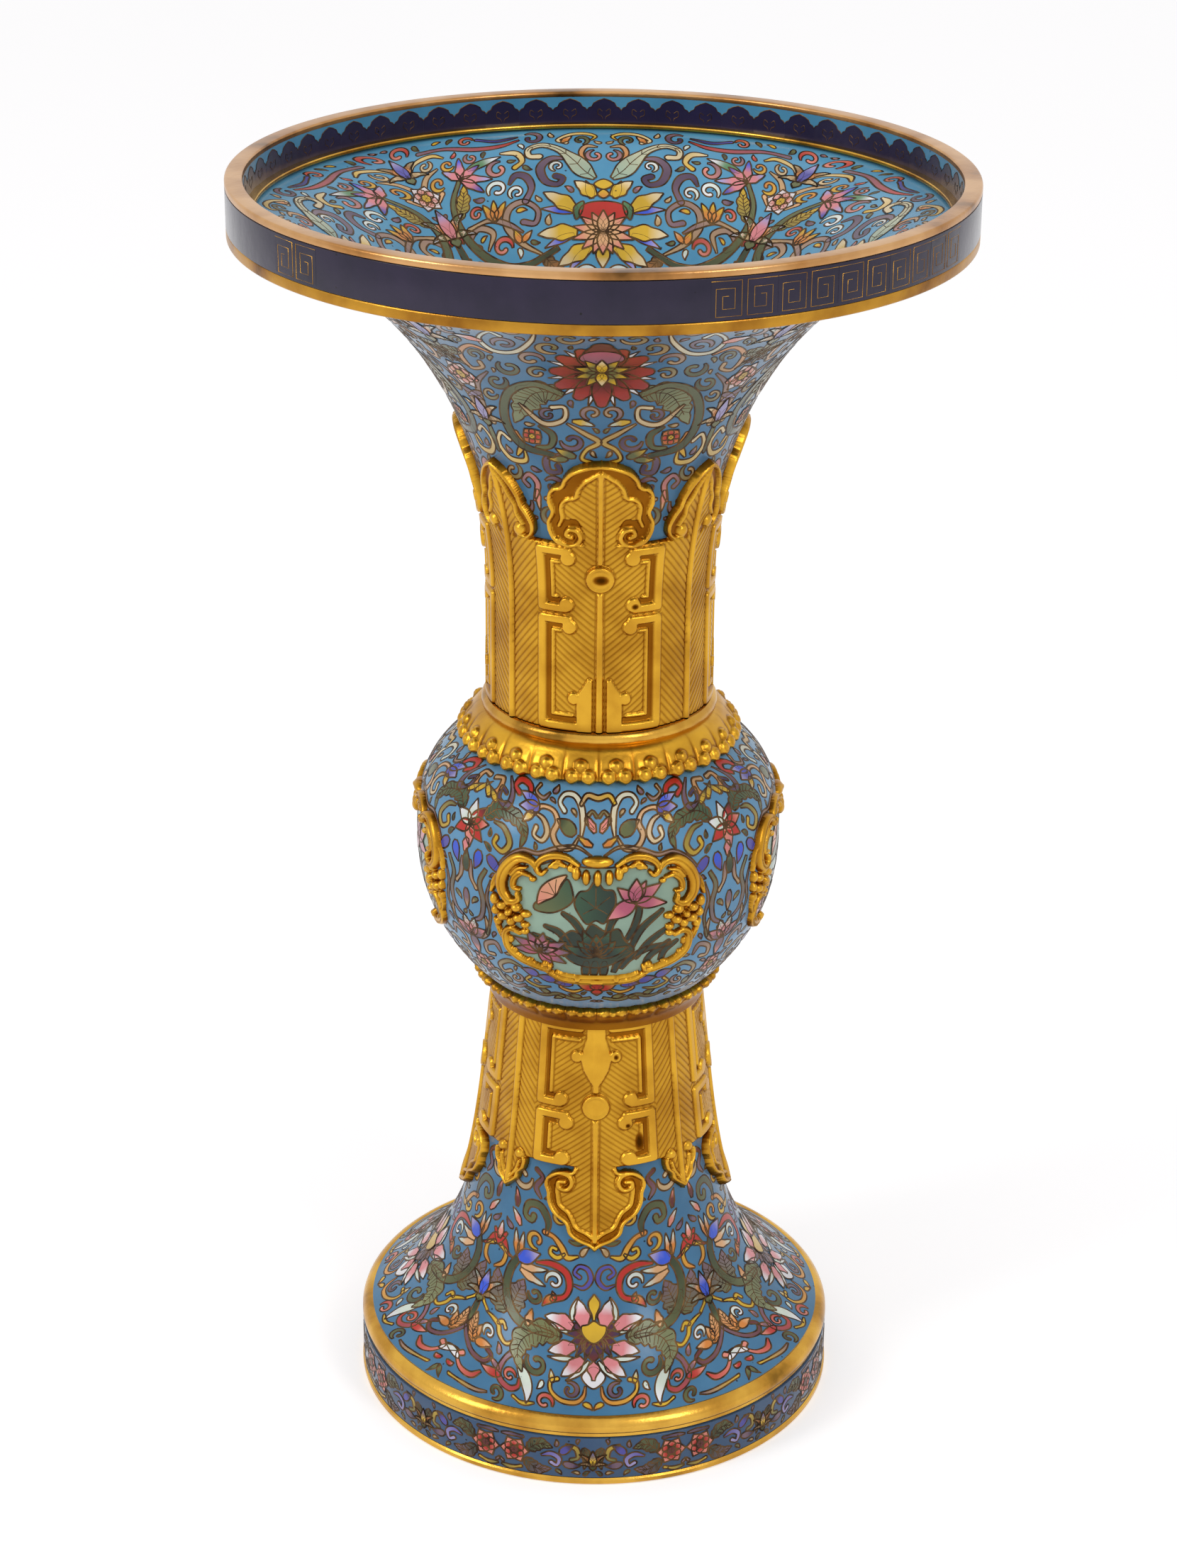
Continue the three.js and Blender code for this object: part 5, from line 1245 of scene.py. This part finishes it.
def draw_knop():
    """Curls, buds and leaves above and below the cartouches, and blossoms between them."""
    d = Drawing("knop_scroll", Heights(knop_line, False, knop_ellipse), 4)
    d.scroll([(4.4, 186.4), (4, 190), (4.3, 193.6), (6, 196.4), (8.6, 196.6), (10, 194.6), (8.8, 192.6)],
             1.3, "cream", "pale")
    d.scroll([(4.4, 194.4), (2.8, 196.6), (0, 196), (-2.8, 196.6), (-4.4, 194.4)], 1.2, "yellow", "tan", 1,
             False, STEM)
    d.petal(0.8, 187.8, 24, 4.2, 2, "salmon", "pink", 10, FLARED, 1)
    d.petal(1.4, 184.6, 70, 4.4, 1.9, "orange", "yellow", -30, FLARED, 1)
    d.petal(6.2, 187, 40, 5.6, 3.6, "olive", "moss", 30, LEAF)
    d.scroll([(5, 186.6), (7, 183.8), (10.2, 184), (11.8, 186.8), (10.6, 189.8), (11.8, 192.4), (15, 193),
              (17.4, 191)], 1.2, "tan", "peach")
    d.scroll([(17, 191.4), (14.4, 190), (13.4, 187.2), (14.8, 185), (17, 186), (16.4, 188)], 1.2, "tan",
             "cream")
    d.petal(15.6, 192.4, 84, 5.6, 3, "violet", "lilac", 16, LEAF, 1)
    d.petal(16, 193.2, 56, 5.4, 2.6, "blue", "lilac", 20, LEAF, 1)
    d.petal(17.2, 191.4, 130, 4, 1.8, "yellow", "cream", 0, PETAL, 1)
    d.scroll([(18.2, 194.6), (18.4, 197.4), (21, 198.4), (22.8, 196.6), (21.6, 195.2)], 1.5, "red")
    d.scroll([(24.4, 198.4), (23.6, 194.4), (25.2, 191.2), (27.8, 192.6), (27, 195.2), (25.6, 194.4)], 1.2,
             "mauve", "plum")
    d.leaf([(32, 187.4), (27.4, 190.2), (22.2, 189.2), (19.8, 186), (20.8, 182.4)], 4.6, "leaf", "olive", 6)
    d.scroll([(29, 187), (25.8, 186.2), (24, 182.8), (26.2, 180.2), (28.8, 181.6), (28, 183.4)], 1.4,
             "olive", "yellow")
    d.petal(28.6, 191.6, 40, 3.6, 1.8, "yellow", "olive", 0, PETAL, 1)
    d.petal(31.4, 192, 10, 3.8, 1.9, "yellow", "olive", 20, PETAL, 1)
    d.petal(30.6, 178.2, -142, 6, 3, "violet", "blue", 20, LEAF, 1)
    d.petal(33.6, 178.6, 170, 5.6, 2.8, "blue", "violet", -20, LEAF, 1)
    d.scroll([(31.4, 174), (33.6, 169.6), (32.4, 164.4), (33.2, 159.4), (36.4, 157)], 1.3, "olive", "mauve",
             0, True, STEM)
    d.scroll([(36.8, 175.2), (36.6, 170.4), (34.8, 167.6)], 1.2, "mauve", "tan")
    d.scroll([(1.6, 182), (5.6, 184.2), (11, 183.4), (15.8, 181.6), (20.4, 181.8), (25, 179),
              (28.4, 174.6)], 0.8, "tan", "mauve")
    d.scroll([(29.8, 171.4), (31.2, 166), (30, 160.6), (31.2, 154.2)], 0.8, "mauve", "olive")
    d.scroll([(1, 188.6), (3, 190.6), (1.6, 192.8), (0.4, 191.6)], 0.8, "tan", "olive")
    d.scroll([(12.6, 196.6), (14.6, 195), (16.6, 196.4), (15.4, 198.2)], 0.8, "mauve", "tan")
    d.scroll([(22.4, 178), (24.6, 175.6), (26.8, 171.6)], 0.8, "olive", "mauve")
    d.scroll([(31.8, 160), (31, 155.6), (33.4, 152.4), (36, 153.8), (35.2, 156)], 1.3, "tan", "mauve")
    d.scroll([(26.8, 148.8), (28.8, 152), (32, 150.4), (31.6, 147.4), (29.4, 147.4)], 1.3, "mauve", "tan")
    d.scroll([(20.6, 145.6), (24.6, 146.6), (27.6, 144.2), (26.4, 141.6), (24.2, 142.8)], 1.3, "olive",
             "tan")
    for x, z, heading in ((6.4, 141.6, 80), (11.2, 142.2, 66), (16, 143.4, 58)):
        d.petal(x, z, heading, 5, 2.7, "violet", "mauve", 26, LEAF, 1)
    d.scroll([(3.4, 139.8), (6.4, 138.4), (9.6, 139.8), (9, 141.4)], 1.1, "yellow", "orange")
    d.scroll([(12.4, 139.4), (16, 138.6), (19.4, 140.4), (18.4, 142.2)], 1.1, "olive", "yellow")
    d.scroll([(1.6, 135.8), (6, 134.6), (10.6, 136.4), (14.6, 134.8), (18.6, 136)], 1.3, "olive", "moss", 0,
             True, STEM)
    d.scroll([(19.6, 138.2), (22.6, 136), (26.6, 137.6), (28.6, 141), (31.4, 140.2)], 1.3, "mauve", "olive",
             0, True, STEM)
    for x, z, heading in ((4.2, 135.6, 60), (8.6, 136, 120), (12.8, 136, 50), (17, 135.6, 64),
                          (24.6, 137, 20)):
        d.petal(x, z, heading, 3.6, 2, "olive", "moss", 20, LEAF)
    d.petal(0.6, 140, 74, 4.8, 2.6, "red", "orange", -20, LEAF, 1)
    d.petal(0, 139.8, 0, 3.2, 3.4, "red", "maroon", 0, PETAL, 2, False)
    d.petal(0, 139.8, 180, 2.6, 2.8, "red", "maroon", 0, PETAL, 2, False)
    b = Drawing("knop_between", Heights(knop_line, False, knop_ellipse), 4, math.pi / 4)
    for heading, root, tip in ((-4, "pale", "white"), (-66, "pale", "white"), (38, "red", "maroon"),
                               (80, "red", "salmon"), (126, "red", "red"), (-118, "red", "red"),
                               (172, "salmon", "pink")):
        b.petal(0, 184.6, heading, 6, 3.2, root, tip, 0, PETAL, 1, False)
    b.petal(0, 180.6, 200, 4.4, 2.6, "pink", "salmon", -40, FLARED, 1, False)
    for heading, root, tip in ((-60, "mauve", "pink"), (-20, "pink", "pale"), (20, "pink", "pale"),
                               (60, "mauve", "pink"), (180, "mauve", "salmon")):
        b.petal(0, 152, heading, 6.2, 3, root, tip, 0, PETAL, 1, False)
    b.scroll([(1.6, 192.2), (4.2, 194.4), (3.4, 197.2), (1, 197)], 1.2, "orange", "tan")
    b.petal(0, 171.6, 0, 6, 2.6, "moss", "olive", 0, LEAF, 1, False)
    b.petal(0, 166.4, 180, 6, 2.2, "mauve", "tan", 0, LEAF, 1, False)
    b.rosette(0, 142.6, 3.4, 5, "yellow", "salmon", "mauve", 1, False)
    turn = np.linspace(0, 2 * math.pi, 40, endpoint=False)
    window = np.stack([WINDOW_WIDE * np.cos(turn), CARTOUCHE_Z + WINDOW_TALL * np.sin(turn)], 1)
    build_zone(d, b, 133, 199, 0.95, MUTED_TENDRILS, [window])


def draw_plaques():
    """A lotus pond in each frame: two leaves, an open lotus, a low one and reeds round a dark clump."""
    names = [f"cartouche_plaque_{side}" for side in SIDES]
    d = Drawing("plaques", knop, 4, 0, "celadon_enamel", names)

    def spread(points):
        return np.array(points) * STRETCH + (0, knop_middle)

    half = [(0, 14.2), (5, 14.4), (9.5, 15.6), (14, 14.2), (16.4, 13.6), (20.2, 14.8), (23.8, 12),
            (24.6, 8), (23.4, 4), (25.4, 0), (25.6, -4), (24.6, -8), (20.6, -12.4), (14, -14.6),
            (12, -15.9), (7, -16.8), (0, -16.8)]
    d.patch(spread(mirrored(half)), "jade", None, 0, False)

    def patch(points, root, tip=None, layer=1):
        d.patch(spread(points), root, tip, layer, False)

    def reed(points, width, layer=1):
        d.scroll(spread(points), width, "pond", "moss", layer, False, STEM)

    for points in ([(8.2, -7.6), (11.2, -1.6), (16.6, 2.8)],
                   [(7.4, -4.4), (9.4, -0.8), (10.6, 3.4), (10, 6)],
                   [(9.6, -10.2), (13.4, -5.4), (19.4, -1.4)],
                   [(6, -13.2), (8.4, -10), (13, -7.4), (19, -6.8)],
                   [(12.2, -13), (13.6, -9.8), (18.6, -6)], [(4.2, -14.4), (5.6, -10.6), (8.8, -8)],
                   [(16.4, -11.6), (17.6, -8.6), (20.8, -6.4)], [(3, 0.6), (4.4, 3.6), (6.4, 4.6)]):
        reed(points, 1.5)
    for x in (-3, -0.8, 1.6):
        reed([(x, -15.4), (x + 0.3, -11)], 1.8)
    patch([(-5.8, 5.4), (-4.6, 8.2), (-2.4, 8.8), (-0.4, 11.2), (1.6, 9), (4, 8.6), (4.6, 5.6), (3.2, 2.8),
           (1.6, 0.4), (-0.4, 1.2), (-2.6, 0.2), (-4.6, 2.6)], "leaf", "pond", 2)
    for x, y in ((-4.2, 7), (-0.4, 9.4), (3.2, 7.2), (-3.6, 2.8), (2.6, 2.8)):
        d.wire(spread([(-0.4, 4.4), (0.5 * (x - 0.4), 0.5 * (y + 4.6)), (x, y)]), 2, False, LINE_HALF)
    patch([(-9.6, -5), (-6.6, -1.8), (-3.6, -2.6), (-1.4, 0.2), (2.2, -1.8), (5.4, -1.2), (7, -4.4),
           (9.4, -7.4), (5.6, -10.6), (0.6, -12.6), (-5, -11.8), (-8.4, -9)], "pond", "moss", 2)
    for k in range(7):
        heading = -84 + 28 * k
        d.petal(*spread([(-0.2, -8.4)])[0], heading, 8.4 - 2.0 * (k % 2), 3.2, "pond", "leaf",
                -0.3 * heading, LEAF, 3, False)
    for points in ([(-3, -3.4), (-5.8, 0.6), (-8.6, 2.6)], [(2.4, -3), (4, 1.4), (7.4, 4.2)],
                   [(-6.8, -6.4), (-9.6, -2.6), (-13.2, -1.2)], [(-8, -9.2), (-11.6, -5.6), (-16.4, -4)]):
        reed(points, 1.5, 2)
    patch([(-16, 2.8), (-15.6, 4.8), (-11, 6.8), (-7.8, 11.2), (-6.2, 7.8), (-6.8, 5.2), (-11.4, 2.6)],
          "olive", "leaf", 3)
    patch([(-15.4, 4.4), (-14.6, 8.2), (-11.8, 10.8), (-7.8, 12.2), (-9.2, 9.8), (-10.6, 7), (-13.6, 5.2)],
          "salmon", "peach", 4)
    for x, y in ((-14.4, 7.6), (-12.4, 10), (-10.4, 11)):
        d.wire(spread([(-10.6, 7), (0.5 * (x - 10.8), 0.5 * (y + 7.3)), (x, y)]), 4, False, LINE_HALF)
    open_flower, low_flower = spread([(9.4, 5.8), (-14.6, -8.4)])
    for heading, length, width in ((-48, 5.4, 2.6), (58, 7.4, 3.2), (99, 7.8, 2.9), (-125, 7.8, 3.8),
                                   (28, 5.6, 2.4)):
        d.petal(*open_flower, heading, 1.1 * length, 1.1 * width, "rose", "pink", 0, PETAL, 4, False)
    d.petal(*open_flower, 4, 6.2, 3.6, "rose", "pink", 0, PETAL, 5, False)
    for heading, length in ((-95, 6.8), (-68, 7.4), (-32, 6.2), (8, 5.4), (62, 7), (88, 7.4), (118, 7),
                            (150, 6)):
        d.petal(*low_flower, heading, 1.1 * length, 2.9, "rose", "mauve", 0, PETAL, 4, False)
    for heading in (-50, -12, 30, 76):
        d.petal(*low_flower, heading, 4.4, 2.1, "mauve", "pink", 0, PETAL, 5, False)
    d.build()


def draw_band():
    """Pairs of red blossoms among dark leaves, violet buds and yellow curls."""
    face = upright(FOOT_R, Z_BAND, Z_BAND_TOP)
    d = Drawing("band_scroll", face, 8, math.pi / 8)
    d.rosette(4.3, 9, 4, 6, "maroon", "red", "salmon", 2)
    d.leaf([(8.2, 9.8), (11.4, 12.2), (15, 11.4)], 4.4, "moss", "olive", 4)
    d.leaf([(7.4, 6.6), (10.6, 4), (14.6, 4.4)], 4.2, "moss", "mauve", 4)
    d.scroll([(12, 8.6), (14.8, 9.4), (17, 8), (16.4, 5.8), (14.8, 6.6)], 1.3, "violet", "lilac", 1)
    d.petal(17.4, 9.6, 40, 4.6, 2.4, "violet", "plum", 20, LEAF, 1)
    d.petal(18.2, 6.6, 110, 4.6, 2.2, "mauve", "plum", -30, LEAF, 1)
    d.scroll([(18.8, 12.8), (21.8, 11.4), (22.2, 8.6), (20.4, 7.8)], 1.2, "yellow", "olive")
    d.scroll([(0.4, 13.6), (3.4, 13.8), (6.6, 13.6)], 1, "mauve", "plum")
    d.scroll([(0.4, 3.4), (3.4, 3), (6.2, 3.8)], 1, "olive", "yellow")
    b = Drawing("band_between", face, 8)
    b.spray(6, 4.6, "yellow", "peach")
    b.leaf([(2.6, 11.8), (1.6, 9), (2.4, 5)], 2.6, "moss", "olive", 3)
    build_zone(d, b, 2.6, 14.4, 0.95, MUTED_TENDRILS)


# Repeats of the key fret that are still plain to see; the rest is worn away
FRET_LEFT = [2, 3, 4, 5, 6, 12, 13, 17, 18, 19, 24, 25, 31]


def draw_mouth():
    """Stepped navy domes inside the collar and a square key fret outside it."""
    d = Drawing("mouth_domes", upright(COLLAR_INNER_R, Z_LINING, Z_LINING_TOP, True), 60)
    dome = [(4.73, 341.5), (4.73, 344.9), (4.2, 345.6), (3.4, 345.9), (2.9, 346.9), (1.6, 347.6),
            (0, 348.1)]
    outline = np.array([*dome, *[(-x, y) for x, y in dome[-2::-1]]])
    d.cell(outline, plain("navy"), 1, False, False)
    d.wire(outline[1:-1], 1, False, LINE_HALF)
    curl = smooth([(0.5, 344.6), (1.5, 345.2), (1.7, 343.8), (0.7, 343.2), (0.2, 342.2)], 0.4)
    d.wire(curl, 1, True, CURL_HALF)
    d.build()
    d = Drawing("mouth_fret", upright(COLLAR_R, Z_NAVY, Z_LIP), 36, 0.0, "navy_enamel", (), FRET_LEFT,
                GILT_DARK)
    field = np.array([(-8.2, 338.6), (8.2, 338.6), (8.2, 347.3), (-8.2, 347.3)])
    d.cell(field, plain("night"), 0, False, False)
    fret = [(8.2, 347.2), (0.7, 347.2), (0.7, 338.8), (7.0, 338.8), (7.0, 345.4), (2.4, 345.4),
            (2.4, 340.6), (5.4, 340.6), (5.4, 343.6), (4.0, 343.6)]
    d.wire(fret, 0, True, FRET_HALF)
    d.build()


draw_foot()
draw_lining()
draw_flare()
draw_knop()
draw_plaques()
draw_band()
draw_mouth()

# Studio: pale floor, soft dome and two tall soft lights, in metres
FLOOR_SIDE, FLOOR_FRONT, FLOOR_BACK = 6, -4, 9
FLOOR_DARK, FLOOR_LIGHT = (0.74, 0.735, 0.735), (0.76, 0.755, 0.755)
FLOOR_ROUGHNESS, FLOOR_CLOUD, FLOOR_STOPS = 0.9, 0.6, (0.2, 0.8)
FLOOR_GLOW, GLOW_COLOUR = 0.4, (1, 0.99, 0.985, 1)
# Shades of the dome at heights from its horizon to its top
DOME_STOPS = (0.0, 0.35, 0.9)
DOME_SHADES = ((0.26, 0.26, 0.28), (0.33, 0.33, 0.36), (1.05, 1.05, 1.05))
# Lights as (name, direction from the vase, power, width, height)
LIGHTS = (("left", (-0.72, -0.42, 0.5), 5.0, 0.3, 0.8), ("right", (0.5, -0.66, 0.52), 3.6, 0.25, 0.7))
LIGHT_AIM, LIGHT_REACH = Vector((0, 0, 0.17)), 1.3
# The view: place, tilt down and roll in radians, lens in millimetres and sideways shift
VIEW_FROM, VIEW_TILT, VIEW_ROLL = (0, -0.84295, 0.5571), 0.4194, 0.0084
LENS, SENSOR, LENS_SHIFT = 78.0, 36.0, -0.00636
VIEW_REACH = 50


def seen_rays(tree):
    """1 for the rays that show the surroundings: straight to the camera, mirrored or through glass."""
    path = tree.nodes.new("ShaderNodeLightPath")
    share = path.outputs["Is Camera Ray"]
    for kind in ("Is Glossy Ray", "Is Transmission Ray"):
        either = tree.nodes.new("ShaderNodeMath")
        either.operation = "MAXIMUM"
        tree.links.new(share, either.inputs[0])
        tree.links.new(path.outputs[kind], either.inputs[1])
        share = either.outputs["Value"]
    return share


def studio():
    floor = bpy.data.meshes.new("floor")
    corners = [(-FLOOR_SIDE, FLOOR_FRONT, 0), (FLOOR_SIDE, FLOOR_FRONT, 0), (FLOOR_SIDE, FLOOR_BACK, 0),
               (-FLOOR_SIDE, FLOOR_BACK, 0)]
    floor.from_pydata(corners, [], [(0, 1, 2, 3)])
    pale, tree, shader = node_material("floor", FLOOR_ROUGHNESS, 0.0)
    colour = ramp(tree, noise(tree, FLOOR_CLOUD), FLOOR_STOPS, (FLOOR_DARK, FLOOR_LIGHT))
    tree.links.new(colour, shader.inputs["Base Color"])
    shader.inputs["Specular IOR Level"].default_value = 0.0
    shader.inputs["Emission Color"].default_value = GLOW_COLOUR
    level = tree.nodes.new("ShaderNodeMath")
    level.operation = "MULTIPLY"
    level.inputs[1].default_value = FLOOR_GLOW
    tree.links.new(seen_rays(tree), level.inputs[0])
    tree.links.new(level.outputs["Value"], shader.inputs["Emission Strength"])
    floor.materials.append(pale)
    ground = bpy.data.objects.new("floor", floor)
    bpy.context.scene.collection.objects.link(ground)

    world = bpy.data.worlds.new("studio")
    bpy.context.scene.world = world
    world.use_nodes = True
    tree = world.node_tree
    back = tree.nodes["Background"]
    place = tree.nodes.new("ShaderNodeTexCoord")
    split = tree.nodes.new("ShaderNodeSeparateXYZ")
    tree.links.new(place.outputs["Generated"], split.inputs["Vector"])
    dome = ramp(tree, split.outputs["Z"], DOME_STOPS, DOME_SHADES)
    seen = mix(tree, "MIX", seen_rays(tree), dome, (*WHITE, 1))
    tree.links.new(seen, back.inputs["Color"])

    for name, direction, power, width, height in LIGHTS:
        lamp = bpy.data.lights.new(name, "AREA")
        lamp.shape = "RECTANGLE"
        lamp.size = width
        lamp.size_y = height
        lamp.energy = power
        made = bpy.data.objects.new(name, lamp)
        made.location = LIGHT_AIM + Vector(direction).normalized() * LIGHT_REACH
        made.rotation_euler = (LIGHT_AIM - made.location).to_track_quat("-Z", "Y").to_euler()
        bpy.context.scene.collection.objects.link(made)


def camera():
    """A view from the front, 24 degrees down, through a long lens and with a very small roll."""
    lens = bpy.data.cameras.new("camera")
    lens.lens = LENS
    lens.sensor_width = SENSOR
    lens.shift_x = LENS_SHIFT
    lens.clip_end = VIEW_REACH
    made = bpy.data.objects.new("camera", lens)
    turn = Matrix.Rotation(math.pi / 2 - VIEW_TILT, 4, "X") @ Matrix.Rotation(VIEW_ROLL, 4, "Z")
    made.matrix_world = Matrix.Translation(VIEW_FROM) @ turn
    bpy.context.scene.collection.objects.link(made)
    bpy.context.scene.camera = made


studio()
camera()
bpy.context.scene.view_settings.view_transform = "Standard"

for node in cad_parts.values():
    node.data.materials.clear()
    node.data.materials.append(GILT)
